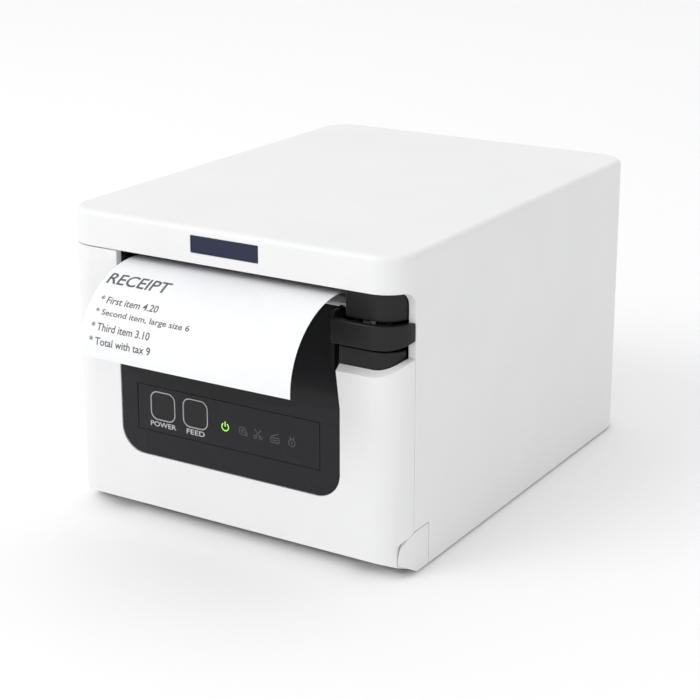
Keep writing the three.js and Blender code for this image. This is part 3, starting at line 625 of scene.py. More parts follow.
def paper_stock(name, colour, cloud_colour, roughness, depth=0.01, **sockets):
    """Paper or card: a cloudy tone and a fine tooth."""
    material, tree, shader = start_material(name, **sockets)
    fibre = place_group(tree, paper_fibre)
    tone = spread(tree, fibre.outputs["Cloud"], 0.0, 1.0)
    tree.links.new(mix_colours(tree, tone, cloud_colour, colour), shader.inputs["Base Color"])
    tree.links.new(
        spread(tree, fibre.outputs["Height"], roughness - 0.05, roughness + 0.05), shader.inputs["Roughness"])
    bump(tree, shader, fibre.outputs["Height"], depth)
    return material


print("material tools: plastic, metal, paper_stock")

# %% [markdown]
# The case is white with the faintest warmth, satin rather than glossy. The blacks differ: the panel is a
# semi-gloss film, the lever and its covers are a satin moulding, and the chassis parts are dull.

# %% Materials of the plastics
MATERIALS = {
    "white_case": plastic("white_case", (0.83, 0.832, 0.835), 0.40, depth=0.010, rub=0.3,
                          rub_colour=(0.9, 0.9, 0.9)),
    "panel_black": plastic("panel_black", (0.011, 0.011, 0.0125), 0.30, grain=1900.0, depth=0.004, rub=0.2,
                           Specular_IOR_Level=0.22),
    "lever_black": plastic("lever_black", (0.009, 0.009, 0.0085), 0.33, grain=2200.0, depth=0.010, rub=0.3,
                           Specular_IOR_Level=0.3),
    "button_black": plastic("button_black", (0.013, 0.013, 0.014), 0.34, grain=2400.0, depth=0.006, rub=0.3,
                            Specular_IOR_Level=0.25),
    "badge_navy": plastic("badge_navy", (0.022, 0.025, 0.060), 0.28, grain=3000.0, depth=0.003, rub=0.4,
                          Specular_IOR_Level=0.2),
    "black_plastic": plastic("black_plastic", (0.014, 0.014, 0.015), 0.5, grain=1800.0, depth=0.02, rub=0.3),
    "motor_grey": plastic("motor_grey", (0.16, 0.165, 0.17), 0.48, grain=2000.0, depth=0.015),
    "gear_white": plastic("gear_white", (0.74, 0.73, 0.67), 0.42, grain=2600.0, depth=0.008),
    "rubber": plastic("rubber", (0.012, 0.012, 0.012), 0.78, grain=1500.0, depth=0.03, rub=0.15,
                      rub_colour=(0.05, 0.05, 0.05), Specular_IOR_Level=0.3),
    "head_ceramic": plastic("head_ceramic", (0.55, 0.42, 0.3), 0.3, grain=3000.0, depth=0.003),
    "board_green": plastic("board_green", (0.01, 0.095, 0.035), 0.35, grain=700.0, depth=0.02),
    "light_guide": plastic("light_guide", (0.72, 0.8, 0.83), 0.18, grain=2600.0, depth=0.004),
}
print("plastics:", len(MATERIALS))

# %% [markdown]
# Metals are inside and behind: zinc-plated frame steel, hardened blades, a machined heat sink and brass
# bushes. The paper is a bright, faintly bluish white, and the core of the roll is brown card.

# %% Materials of the metals and the paper
MATERIALS["steel"] = metal("steel", (0.55, 0.56, 0.57), 0.32)
MATERIALS["blade_steel"] = metal("blade_steel", (0.68, 0.69, 0.7), 0.2, density=1.6, depth=0.003)
MATERIALS["aluminium"] = metal("aluminium", (0.66, 0.67, 0.68), 0.36, density=0.8)
MATERIALS["brass"] = metal("brass", (0.62, 0.45, 0.17), 0.28)
MATERIALS["paper"] = paper_stock(
    "paper", (0.865, 0.87, 0.89), (0.84, 0.845, 0.865), 0.55, depth=0.006, Specular_IOR_Level=0.35)
MATERIALS["card"] = paper_stock("card", (0.36, 0.24, 0.14), (0.28, 0.18, 0.1), 0.85, depth=0.05)
print("all finishes:", len(MATERIALS))

# %% [markdown]
# ## Handing a piece over
# When its shape is done, a piece gets its finish and rides on the body that carries it, and the CAD nodes it
# stands for are hidden. One helper does all three, and prints what was made.

# %% Handing over
def hand_over(obj, name, body, finish, replaced=(), material=None):
    obj.name = name
    obj.data.name = name
    obj.data.materials.clear()
    obj.data.materials.append(material or MATERIALS[finish])
    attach(obj, body)
    if replaced:
        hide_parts(*replaced)
    size = " x ".join(f"{d / MM:.1f}" for d in obj.dimensions)
    print(f"{name}: {len(obj.data.polygons)} faces, {size} mm, rides on {body}")
    return obj


print("hand_over ready")

# %% [markdown]
# ## The case shell
# The case is one injection moulding, 3 mm thick, open below and in front: four walls, a top and the brow
# that hangs over the paper slot. A cube gets its corners rounded, loses its bottom, becomes a shell and is
# then cut back in front, so the brow, the side walls and the window at the back all share one surface.

# %% Case shell: the rounded box
WALL = 3.0
CORNER = 12.5
TOP_FILLET = 2.4
BROW_BOTTOM = 105.3
SEAM_Y = 11.1
GAP = 0.3
FAR = 200.0


def rounded_box(name, inset, z0, z1, corner_segments=20):
    """The case's outline in plan, shrunk by inset, from z0 to z1."""
    box = block(name, (inset - HALF, HALF - inset), (inset, DEPTH - inset), (z0, z1))
    return round_edges(box, lambda e: runs_along(e, VERTICAL), CORNER - inset, corner_segments)


case = rounded_box("case", 0.0, 0.0, HEIGHT)
round_edges(case, lambda e: middle(e).z > HEIGHT - 0.01, TOP_FILLET, 6)
delete_faces(case, facing(0, 0, -1))
wall(case, WALL)
print("case walls:", len(case.data.polygons), "faces")

# %% [markdown]
# The front of the box is cut away below the brow. At the right the brow runs down into the side wall in a
# small curve, where the black lever block fills the corner; the cutter's own rear top edge is rounded there.

# %% Case shell: the open front, the window and the badge seat
BROW_FILLET = 5.5
EAR_TOP = 15.9
EAR_BACK = 21.7
BADGE_X, BADGE_Z = span("badge_plate", 0), span("badge_plate", 2)
WINDOW_X, WINDOW_Z = (-46.0, 46.0), (9.0, 37.0)

front_cut = block("front_cut", (-FAR, HALF - 6), (-5, SEAM_Y), (-5, BROW_BOTTOM))
corner_cut = block("corner_cut", (HALF - 6, FAR), (-5, SEAM_Y), (-5, BROW_BOTTOM))
round_edges(
    corner_cut,
    lambda e: runs_along(e, 0) and middle(e).y > SEAM_Y - 1 and middle(e).z > BROW_BOTTOM - 1,
    BROW_FILLET, 10)
ear_cut = block("ear_cut", (-FAR, FAR), (-5, EAR_BACK + GAP), (-5, EAR_TOP + GAP))
badge_seat = block(
    "badge_seat", (BADGE_X[0] - 0.2, BADGE_X[1] + 0.2), (-1, 0.7), (BADGE_Z[0] - 0.2, BADGE_Z[1] + 0.2))
window = block("window", WINDOW_X, (DEPTH - 5, DEPTH + 5), WINDOW_Z)
round_edges(window, lambda e: runs_along(e, 1), 3.0)
carve(case, front_cut, corner_cut, ear_cut, badge_seat, window)

SCREW_PLACES = [(side * 60, y) for side in (-1, 1) for y in (60, 150)]
for x, y in SCREW_PLACES:
    boss = post("boss", (x, y), 4.0, (3.6, 20.0), 24)
    side = 1 if x > 0 else -1
    weld(boss, block("rib", on_side(side, 60, HALF - 2), (y - 2, y + 2), (3.7, 19.9)))
    weld(case, boss)
break_edges(case, 0.2)
hand_over(case, "case_body", "root", "white_case", ["case_shell"])

# %% [markdown]
# ## The badge
# A small plate sits in a shallow seat on the brow. It is left blank: dark navy, with a fine raised rim that
# is made by insetting its front face and pushing that face back.

# %% Badge
badge = block("badge", BADGE_X, (-0.2, 0.5), BADGE_Z)
pick(badge, "FACE", facing(0, -1, 0))
bpy.ops.mesh.inset(thickness=0.45 * MM)
bpy.ops.mesh.extrude_region_move(TRANSFORM_OT_translate={"value": (0, 0.12 * MM, 0)})
done()
break_edges(badge, 0.06)
hand_over(badge, "badge", "root", "badge_navy", ["badge_plate"])

# %% [markdown]
# ## The front cover
# The cover is the lower front of the printer. It is a skin bent round both front corners, chamfered below,
# and it stops under the brow. It is the front slice of the same rounded box, hollowed by a smaller one, cut
# off along the chamfer and closed below with a sloping wall. The panel's opening is cut from it after that.

# %% Front cover: skin and wall
COVER_TOP = 104.9
COVER_BACK = SEAM_Y - 0.14
CHAMFER_Z, CHAMFER_Y = 6.1, 13.6


def chamfer_at(y):
    """The height of the chamfer's plane."""
    return CHAMFER_Z * (1 - y / CHAMFER_Y)


cover = rounded_box("cover", 0.0, 0, COVER_TOP, 16)
keep_within(cover, block("front_slice", (-FAR, FAR), (-5, COVER_BACK), (-5, FAR)))
carve(cover, rounded_box("hollow", WALL, -5, FAR, 16))
carve(cover, prism("under", [(-5, chamfer_at(-5)), (20, chamfer_at(20)), (-5, -30)], 0, -FAR, FAR))
floor_view = [(1, chamfer_at(1)), (COVER_BACK, chamfer_at(COVER_BACK)),
              (COVER_BACK, chamfer_at(COVER_BACK) + WALL), (1, chamfer_at(1) + WALL)]
cover_floor = prism("cover_floor", floor_view, 0, -70.2, 70.2)
weld(cover, keep_within(cover_floor, rounded_box("plan", 0.05, -5, 40)))
print("cover skin:", len(cover.data.polygons), "faces")

# %% [markdown]
# The opening for the panel has round lower corners; its right edge leans in above the fold of the panel.
# The outline is worked out once, because the panel is the same shape a third of a millimetre smaller.

# %% Front cover: opening, top curve and hinge
OPENING_LEFT, OPENING_RIGHT, OPENING_BOTTOM, OPENING_RADIUS = -48.5, 49.2, 26.6, 10.0
FOLD_Z = 61.3
RIGHT_TOP_Z, RIGHT_TOP_X = 75.4, 47.5
HINGE = (9.0, 8.5)
HINGE_BORE = 2.1
EAR_ARC, EAR_RADIUS = (13.6, 7.0), 8.9
EAR_X = span("hinge_ear_right", 0)[1] - 2.9
EAR_SWEEP = 5.95


def opening_outline(shrink, top):
    left, right = OPENING_LEFT + shrink, OPENING_RIGHT - shrink
    low, radius = OPENING_BOTTOM + shrink, OPENING_RADIUS - shrink
    lean = (OPENING_RIGHT - RIGHT_TOP_X) / (RIGHT_TOP_Z - FOLD_Z)
    corners = arc((left + radius, low + radius), radius, 180, 270, 14)
    corners += arc((right - radius, low + radius), radius, 270, 360, 14)
    return [(left, top), *corners, (right, FOLD_Z), (right - lean * (top - FOLD_Z), top)]


def ear_outline(grow):
    radius = EAR_RADIUS + grow
    front = EAR_ARC[0] - radius
    return [
        (EAR_BACK + grow, -2 * grow), (EAR_BACK + grow, EAR_TOP + grow),
        *arc(EAR_ARC, radius, 90, 180, 24), (front, 4.8 - grow), (EAR_ARC[0], -2 * grow),
    ]


rise = [(0, 75.4), (0.7, 75.75), (1.5, 76.3), (2.9, 77.2), (4.3, 78.1), (5.9, 79.05), (7.5, 79.9),
        (9.2, 80.45), (COVER_BACK, 80.8)]
top_cut = prism("top_cut", [(-5, 75.4), *rise, (20, 80.8), (20, 130), (-5, 130)], 0, 40, 90)
opening = prism("opening", opening_outline(0, 120), 1, -5, WALL + 1)
carve(cover, top_cut, opening)
break_edges(cover, 0.2)
for side in (-1, 1):
    lug_room = block("lug_room", on_side(side, 51.4, 59.9), (WALL + 0.2, 20), (-5, 16))
    ear_room = prism("ear_room", ear_outline(GAP), 0, *on_side(side, EAR_X - GAP, 90))
    sweep = rod("sweep", HINGE, EAR_SWEEP, on_side(side, EAR_X - GAP, 90))
    strip = block("strip", on_side(side, EAR_X - GAP, 90), (4.2, 20), (-5, 5))
    carve(cover, lug_room, ear_room, sweep, strip)
    knuckle = rod("knuckle", HINGE, 5.5, on_side(side, 60.0, 69.9))
    plan = rounded_box("plan", 0.0, -5, 40)
    weld(cover, keep_within(knuckle, plan))
    carve(cover, rod("bore", HINGE, HINGE_BORE, on_side(side, 50, 75), 24))
break_edges(cover, 0)
hand_over(cover, "front_cover_skin", "front_cover", "white_case", ["front_cover"])

# %% [markdown]
# ## The hinge ears
# Each ear is a thin plate at the foot of the side, fixed to the chassis. Its front edge is an arc with the
# hinge pin behind it, and its lower edge runs up to the front. The outline is pulled through 3 mm, trimmed
# to the case's rounded corner, and a tab behind it carries the pin.

# %% Hinge ears
for side, label in ((1, "right"), (-1, "left")):
    ear = prism("ear", ear_outline(0), 0, *on_side(side, EAR_X, HALF + 1))
    keep_within(ear, rounded_box("plan", 0.0, -5, 40))
    weld(ear, block("tab", on_side(side, 64, EAR_X + 1), (17.3, 21.6), (1, 14)))
    carve(ear, rod("bore", HINGE, HINGE_BORE, on_side(side, 60, 71.9), 24))
    break_edges(ear, 0.25)
    hand_over(ear, f"ear_{label}", "root", "white_case", [f"hinge_ear_{label}"])

# %% [markdown]
# ## The operation panel
# The panel fills the cover's opening. Its lower half is flat; above the fold it leans back into a chute that
# guides the paper out. The chute is drawn from the side and trimmed with the opening's own outline. A fine
# groove frames the part with the buttons and lights.

# %% Operation panel
PANEL_FRONT, PANEL_BACK = 0.25, 2.8
CHUTE = [(PANEL_FRONT, 59.5), (PANEL_FRONT, FOLD_Z), (3.2, 71), (7.4, 82), (11.4, 90.5), (14, 95.6)]
CHUTE_THICKNESS = 2.4
BUTTON_SIZE, BUTTON_Z, BUTTON_ROUND = 10.3, 47.1, 2.6
BUTTON_X = {"power": -28.9, "feed": -13.9}
GROOVE_X, GROOVE_Z, GROOVE_WIDTH = (-40.8, 41.0), (36.4, 54.8), 0.35


def smooth_line(points, steps):
    """Adds points between the given ones on a smooth curve through them."""
    line = []
    for i in range(len(points) - 1):
        p0, p1 = Vector(points[max(i - 1, 0)]), Vector(points[i])
        p2, p3 = Vector(points[i + 1]), Vector(points[min(i + 2, len(points) - 1)])
        for step in range(steps):
            t = step / steps
            line.append(tuple(0.5 * (2 * p1 + (p2 - p0) * t + (2 * p0 - 5 * p1 + 4 * p2 - p3) * t ** 2
                                     + (3 * p1 - p0 - 3 * p2 + p3) * t ** 3)))
    return [*line, tuple(points[-1])]


def rounded_square(name, x, size, radius, y0, y1):
    square = block(name, around(x, size), (y0, y1), around(BUTTON_Z, size))
    return round_edges(square, lambda e: runs_along(e, 1), radius)


panel = prism("panel", opening_outline(GAP, FOLD_Z), 1, PANEL_FRONT, PANEL_BACK)
chute_front = [CHUTE[0], *smooth_line(CHUTE[1:], 5)]
chute_back = [(y + CHUTE_THICKNESS, z) for y, z in reversed(chute_front)]
chute = prism("chute", chute_front + chute_back, 0, -48.2, 48.9)
keep_within(chute, prism("trim", opening_outline(GAP, 100), 1, -5, 30))
carve(chute, block("lever_side", (46.4, 60), (WALL + 0.2, 40), (50, 110)))
weld(panel, chute)
for x0, x1 in ((-48.2, -46.8), (43.6, 45.0)):
    side_view = [(3.4, 66), (3.4, 95.6), (15, 95.6), (15, 90), (6, 72), (4.6, 66)]
    weld(panel, prism("cheek", side_view, 0, x0, x1))
for x in BUTTON_X.values():
    carve(panel, rounded_square("button_hole", x, BUTTON_SIZE + 0.6, BUTTON_ROUND + 0.3, -5, 10))
groove = block("groove", GROOVE_X, (-1, PANEL_FRONT + 0.3), GROOVE_Z)
inner_x = (GROOVE_X[0] + GROOVE_WIDTH, GROOVE_X[1] - GROOVE_WIDTH)
inner_z = (GROOVE_Z[0] + GROOVE_WIDTH, GROOVE_Z[1] - GROOVE_WIDTH)
carve(groove, block("groove_core", inner_x, (-2, 5), inner_z))
carve(panel, groove)
break_edges(panel, 0.12)
hand_over(panel, "panel", "front_cover", "panel_black", ["operation_panel"])

# %% Operation panel: the film between the grooves
film = plastic("panel_film", (0.014, 0.014, 0.0175), 0.27, grain=1900.0, depth=0.003, Specular_IOR_Level=0.22)
panel.data.materials.append(film)
for face in panel.data.polygons:
    place = in_mm(face.center)
    inside = inner_x[0] < place.x < inner_x[1] and inner_z[0] < place.z < inner_z[1]
    if inside and face.normal.y < -0.9 and place.y < PANEL_FRONT + 0.1:
        face.material_index = 1
print("film faces:", sum(face.material_index for face in panel.data.polygons))

# %% [markdown]
# ## The buttons
# Two square caps with soft corners stand in the panel. Each front face is inset twice and pushed in a
# little, which leaves a shallow dish for the fingertip. A pale ring frames each cap.

# %% Buttons and their rings
ring_paint = plastic("ring_grey", (0.45, 0.45, 0.46), 0.35, depth=0.003)
for label, x in BUTTON_X.items():
    cap = rounded_square("cap", x, BUTTON_SIZE, BUTTON_ROUND, 0.0, 3.4)
    pick(cap, "FACE", facing(0, -1, 0))
    bpy.ops.mesh.inset(thickness=0.7 * MM)
    bpy.ops.mesh.inset(thickness=1.2 * MM)
    bpy.ops.transform.translate(value=(0, 0.2 * MM, 0))
    done()
    weld(cap, block("stem", (x - 1.5, x + 1.5), (3, 4.6), (BUTTON_Z - 1.5, BUTTON_Z + 1.5)))
    break_edges(cap, 0.3, 3)
    hand_over(cap, f"{label}_cap", f"{label}_button", "button_black", [f"{label}_button"])
    ring = rounded_square("ring", x, BUTTON_SIZE + 1.1, BUTTON_ROUND + 0.5, 0.1, 1.2)
    carve(ring, rounded_square("ring_hole", x, BUTTON_SIZE + 0.3, BUTTON_ROUND + 0.15, -5, 5))
    break_edges(ring, 0.06)
    hand_over(ring, f"{label}_ring", "front_cover", "button_black", material=ring_paint)

# %% [markdown]
# ## The lever and its black covers
# At the right, a black block fills the corner above and below the lever. Each is a part of the rounded box,
# set back behind the case line, hollow from behind. The lever is a thick band that runs round the corner at
# the case line itself, with an arm that goes back to its pin and a hook over the latch post.

# %% Corner covers
COVER_WALL = 2.2


def corner_cover(name, x0, y1, z, floor_open):
    """A hollow black block that follows the case's rounded corner."""
    inset = WALL + GAP
    cover_block = rounded_box(name, inset, z[0], z[1], 20)
    keep_within(cover_block, block("corner", (x0, 100), (0, y1), (z[0] - 1, z[1] + 1)))
    floor = z[0] - 5 if floor_open else z[0] + COVER_WALL
    hollow = rounded_box("hollow", inset + COVER_WALL, floor, z[1] - COVER_WALL)
    keep_within(hollow, block("inside", (x0 + COVER_WALL, 100), (0, y1 + 5), (z[0] - 9, z[1])))
    carve(cover_block, hollow)
    return cover_block


upper = corner_cover("upper", 49.6, 13.6, (94.5, 112.0), False)
break_edges(upper, 0.5, 3)
hand_over(upper, "upper_lever_cover", "root", "lever_black", ["upper_side_cover"])
lower = corner_cover("lower", 46.8, 10.6, (62.0, 83.8), True)
break_edges(lower, 0.5, 3)
hand_over(lower, "lower_lever_cover", "front_cover", "lever_black", ["lower_side_cover"])

# %% Lever
LEVER_Z = (85.2, 94.0)
LEVER_THICKNESS = 2.8
LEVER_PIN = (22.0, 79.0)
ARM_X = (62.5, 66.0)

lever = rounded_box("lever", 0.0, *LEVER_Z, 20)
keep_within(lever, block("reach", (40, 100), (-5, COVER_BACK), (70, 100)))
carve(lever, rounded_box("lever_inside", LEVER_THICKNESS, 60, 110, 20))
left_end = prism("left_end", [(30, 70), (46.1, 70), (45.3, 100), (30, 100)], 1, -5, 20)
under = prism("under", [(2, 80), (2, LEVER_Z[0]), (SEAM_Y, 87.4), (SEAM_Y, 80)], 0, 60, 90)
carve(lever, left_end, under)
arm_side = [(1, 88.7), (1, 91), (24, 92.4), (35, 88.4), (35, 86.8), (27, 86.8), (26, 82),
            (25.5, 77), (22, 75), (18.5, 77), (17.5, 84), (11.2, 86.7)]
arm = prism("arm", arm_side, 0, *ARM_X)
carve(arm, rod("pin_hole", LEVER_PIN, 1.6, (50, 80), 24))
keep_within(arm, rounded_box("plan", 0.1, 60, 110))
weld(lever, arm)
break_edges(lever, 0.45, 3)
hand_over(lever, "lever", "open_lever", "lever_black", ["open_lever"])

# %% [markdown]
# ## Labels and status lights
# The panel's lettering is screen-printed, so it stands almost flush. Letters come from text objects that are
# turned into meshes and fitted to their place; each light's picture is built from short bars and rings.

# %% Letters and picture strokes
PRINT_FRONT = PANEL_FRONT - 0.03
PRINT_BACK = PANEL_FRONT + 0.05


def lettering(name, words, depth):
    """A text turned into a solid mesh with its corner at the origin, standing along x and z."""
    bpy.ops.object.select_all(action="DESELECT")
    bpy.ops.object.text_add(rotation=(math.pi / 2, 0, 0))
    text = bpy.context.object
    text.data.body = words
    text.data.extrude = depth / 2
    text.data.offset = 0.012
    text.data.resolution_u = 4
    bpy.ops.object.convert(target="MESH")
    return apply_place(bpy.context.object, name)


def fit(obj, x, z, y):
    """Stretches a flat piece so that it fills x and z, and sets its depth to y, each (low, high)."""
    low = Vector([min(v.co[i] for v in obj.data.vertices) for i in range(3)])
    high = Vector([max(v.co[i] for v in obj.data.vertices) for i in range(3)])
    new_low, new_high = at(x[0], y[0], z[0]), at(x[1], y[1], z[1])
    for vertex in obj.data.vertices:
        share = [(vertex.co[i] - low[i]) / (high[i] - low[i]) for i in range(3)]
        vertex.co = [new_low[i] + share[i] * (new_high[i] - new_low[i]) for i in range(3)]
    return obj


def bar(start, end, width):
    """A straight printed stroke from one (x, z) to another."""
    along = (Vector(end) - Vector(start)).normalized() * width / 2
    side = Vector((-along.y, along.x))
    a, b = Vector(start), Vector(end)
    corners = [tuple(p) for p in (a + side, a - side, b - side, b + side)]
    return prism("bar", corners, 1, PRINT_FRONT, PRINT_BACK)


def ring(centre, radius, width, start=0.0, end=360.0):
    """A printed ring, or part of one, round (x, z)."""
    outer = arc(centre, radius, start, end, 28)
    inner = arc(centre, radius - width, end, start, 28)
    return prism("ring", outer + inner, 1, PRINT_FRONT, PRINT_BACK)


def join(pieces, name):
    make_active(pieces[0])
    for piece in pieces[1:]:
        piece.select_set(True)
    bpy.ops.object.join()
    pieces[0].name = name
    return pieces[0]


print("printed strokes ready")

# %% Button labels
LABELS = {"POWER": (-34.9, -23.0), "FEED": (-18.1, -9.8)}
LABEL_Z = (38.75, 40.75)
label_paint = plastic("label_grey", (0.52, 0.52, 0.53), 0.4, depth=0.002)
for words, x in LABELS.items():
    label = fit(lettering("label", words, 0.05), x, LABEL_Z, (PRINT_FRONT, PRINT_BACK))
    tidy(label)
    hand_over(label, f"label_{words.lower()}", "front_cover", "button_black", material=label_paint)

# %% [markdown]
# Five pictures stand for power, paper, cutter, cover and supply. Only the power light is lit: its green
# comes through the film with a soft glow. The other four are dim grey marks.

# %% Status pictures
ICON_X = {"power": -0.4, "paper": 7.6, "cutter": 14.1, "cover": 21.5, "supply": 28.9}
ICON_Z = 44.8
THIN = 0.32


# About the picture's middle: rings as (x, z, radius, stroke, from, to), bars as (x, z, to x, to z, stroke).
PICTURE_RINGS = {
    "power": [(0, 0, 1.7, 0.42, -235, 55)],
    "paper": [(-0.2, 0, 1.7, THIN, 0, 360), (-0.2, 0, 0.7, THIN, 0, 360)],
    "cutter": [(-1.2, -1.2, 0.75, THIN, 0, 360), (1.2, -1.2, 0.75, THIN, 0, 360)],
    "cover": [],
    "supply": [(0, -0.3, 1.5, THIN, 0, 360)],
}
PICTURE_BARS = {
    "power": [(0, 0.1, 0, 2.1, 0.45)],
    "paper": [(-0.2, -1.55, 2.0, -1.55, THIN), (1.4, 0, 1.9, -1.5, THIN)],
    "cutter": [(-0.8, -0.6, 1.5, 1.9, THIN), (0.8, -0.6, -1.5, 1.9, THIN)],
    "cover": [(-1.8, -1.7, 1.8, -1.7, THIN), (1.8, -1.7, 1.8, 0.1, THIN), (1.8, 0.1, -1.8, 0.1, THIN),
              (-1.8, 0.1, -1.8, -1.7, THIN), (-1.6, 0.5, 1.6, 1.9, THIN), (-1.0, -0.8, 1.0, -0.8, THIN)],
    "supply": [(-0.7, 1.0, -0.7, 2.0, THIN), (0.7, 1.0, 0.7, 2.0, THIN), (0, -0.9, 0, 0.3, THIN)],
}


def picture(label, x, z):
    """The strokes of one status picture about (x, z)."""
    strokes = [ring((x + dx, z + dz), *rest) for dx, dz, *rest in PICTURE_RINGS[label]]
    for dx, dz, to_x, to_z, stroke in PICTURE_BARS[label]:
        strokes.append(bar((x + dx, z + dz), (x + to_x, z + to_z), stroke))
    return strokes


dim_mark = plastic("mark_dim", (0.075, 0.075, 0.078), 0.4, depth=0.002)
lit_mark = plastic("mark_lit", (0.2, 0.5, 0.05), 0.4, depth=0.002,
                   Emission_Color=(0.30, 0.78, 0.09, 1), Emission_Strength=1.0)
for label, x in ICON_X.items():
    mark = join(picture(label, x, ICON_Z), f"light_{label}")
    paint = lit_mark if label == "power" else dim_mark
    hand_over(mark, f"light_{label}", "front_cover", "light_guide", material=paint)

# %% [markdown]
# ## The paper
# Thermal paper leaves the slot between the platen and the head, runs up through the cutter, turns over the
# chute and curls down in front of the cover, as paper from a roll does. It is built as one row of points
# along its path, pulled out to the paper's width and given its tenth of a millimetre. A real strip is not
# perfectly straight across, so the rows bow a little towards the tip.

# %% Paper path
PAPER_X = (-44.6, 46.4)
PAPER_THICK = 0.1
PLATEN_AXIS = (22.0, 86.0)
CURL_CENTRE, CURL_REACH, CURL_DROP = (5.0, 73.0), 32.85, 29.2
TURN = (5.0, 102.2)
TIP_BOW, BOW_FALL = 0.9, 0.3


def curl(start, end, steps):
    """The hanging part: a quarter of an ellipse, from one angle to another."""
    angles = [math.radians(start + (end - start) * i / steps) for i in range(steps + 1)]
    y, z = CURL_CENTRE
    return [(y + CURL_REACH * math.cos(a), z + CURL_DROP * math.sin(a)) for a in angles]


def swept(p0, p1, p2, steps):
    """A soft bend from p0 to p2 that leans towards p1."""
    a, b, c = Vector(p0), Vector(p1), Vector(p2)
    ts = [i / steps for i in range(steps + 1)]
    return [tuple((1 - t) ** 2 * a + 2 * t * (1 - t) * b + t ** 2 * c) for t in ts]


def length_of(path):
    return sum((Vector(b) - Vector(a)).length for a, b in zip(path, path[1:]))


def place_on(path, distance, lift):
    """The point at a distance along a (y, z) path, lifted off it to the outside."""
    for a, b in zip(path, path[1:]):
        step = Vector(b) - Vector(a)
        if distance <= step.length or b == path[-1]:
            direction = step.normalized()
            out = Vector((direction.y, -direction.x))
            return Vector(a) + direction * distance + out * lift
        distance -= step.length


def droop_at(bow, along, across):
    """How far the bow moves a place, from its shares of the strip's length and width."""
    return bow * along ** 2 * (2 * across - 1) ** 2


def paper_strip(name, path, bow=0.0, columns=26):
    """A closed thin strip along a path; the rows bow towards the path's end."""
    bpy.ops.object.select_all(action="DESELECT")
    bpy.ops.mesh.primitive_grid_add(x_subdivisions=columns, y_subdivisions=len(path) - 1, size=1)
    strip = bpy.context.object
    width = PAPER_X[1] - PAPER_X[0]
    for vertex in strip.data.vertices:
        across = vertex.co.x + 0.5
        row = round((vertex.co.y + 0.5) * (len(path) - 1))
        y, z = path[row]
        droop = droop_at(bow, row / (len(path) - 1), across)
        vertex.co = at(PAPER_X[0] + across * width, y + droop, z - BOW_FALL * droop)
    strip.name = name
    apply_modifier(strip, "SOLIDIFY", thickness=PAPER_THICK * MM, offset=0)
    face_outward(strip)
    bpy.ops.object.shade_smooth_by_angle(angle=math.radians(40))
    return strip


hanging = curl(90, 180, 44)
in_slot = [*arc(PLATEN_AXIS, 6.4, 2, 47, 10), *swept((18.7, 97.5), (13.6, 102.2), TURN, 16)]
print(f"paper path: {length_of(in_slot):.1f} mm in the slot, {length_of(hanging):.1f} mm outside")


def fold_away(obj):
    """Gives the piece a mesh of its own."""
    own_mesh(obj)


outer_strip = paper_strip("paper_outside", hanging, bow=TIP_BOW)
hand_over(outer_strip, "paper_outside", "front_cover", "paper", ["paper_tongue"])
inner_strip = paper_strip("paper_in_slot", in_slot)
hand_over(inner_strip, "paper_in_slot", "front_cover", "paper", ["paper_tongue"])

ROLL_AXIS = (72.0, 48.0)
corner = (28.4, 77.0)
reach = (Vector(corner) - Vector(ROLL_AXIS)).length
ROLL_RADIUS = 35.15
lean = math.degrees(math.atan2(corner[1] - ROLL_AXIS[1], corner[0] - ROLL_AXIS[0]))
touch = lean - math.degrees(math.acos(ROLL_RADIUS / reach))
leave = arc(ROLL_AXIS, ROLL_RADIUS, touch - 14, touch, 6)
web_path = [*leave, *swept(leave[-1], corner, (28.4, 80.5), 14)[1:], (28.4, 86.0)]
web = paper_strip("paper_web_strip", web_path)
hand_over(web, "paper_web_strip", "root", "paper", ["paper_web"])

length_of(hanging) * MM
length_of(in_slot) * MM
length_of(web_path) * MM

# %% [markdown]
# ## The print
# A receipt's print is heat-darkened paper. The lines are text meshes, cut into narrow rows so that they can
# bend, and wrapped on the strip a hair above its face. They run from the left edge, one line below another.

# %% Printed lines
RECEIPT = [
    ("RECEIPT", (-42.6, -15.2), 19.8, 5.6),
    ("* First item 4.20", (-40.6, -14.4), 28.2, 3.0),
    ("* Second item, large size 6", (-40.6, 1.6), 33.4, 3.0),
    ("* Third item 3.10", (-40.6, -14.0), 38.6, 3.0),
    ("* Total with tax 9", (-40.6, -12.6), 43.8, 3.0),
]
ROWS_EVERY = 0.6
INK_LIFT = PAPER_THICK / 2 + 0.02
ink = plastic("print_ink", (0.09, 0.09, 0.095), 0.55, grain=3000.0, depth=0.002)


def cut_in_rows(obj, low, high):
    """Bisects a mesh across z at even steps, keeping both sides."""
    rows = int((high - low) / (ROWS_EVERY * MM))
    for row in range(1, rows + 1):
        open_whole(obj)
        bpy.ops.mesh.bisect(plane_co=(0, 0, low + row * ROWS_EVERY * MM), plane_no=(0, 0, 1))
        done()


lines = []
for words, x, baseline, height in RECEIPT:
    line = fit(lettering("line", words, 0.05), x, (0.0, height), (-0.02, 0.02))
    heights = [v.co.z for v in line.data.vertices]
    foot = min(heights)
    cut_in_rows(line, foot, max(heights))
    for vertex in line.data.vertices:
        flat = in_mm(vertex.co)
        distance = baseline - (vertex.co.z - foot) / MM
        y, z = place_on(hanging, distance, INK_LIFT - flat.y)
        across = (flat.x - PAPER_X[0]) / (PAPER_X[1] - PAPER_X[0])
        droop = droop_at(TIP_BOW, distance / length_of(hanging), across)
        vertex.co = at(flat.x, y + droop, z - BOW_FALL * droop)
    lines.append(line)
printed = join(lines, "printed_lines")
tidy(printed)
hand_over(printed, "printed_lines", "front_cover", "paper", material=ink)
fold_away(outer_strip)
fold_away(printed)

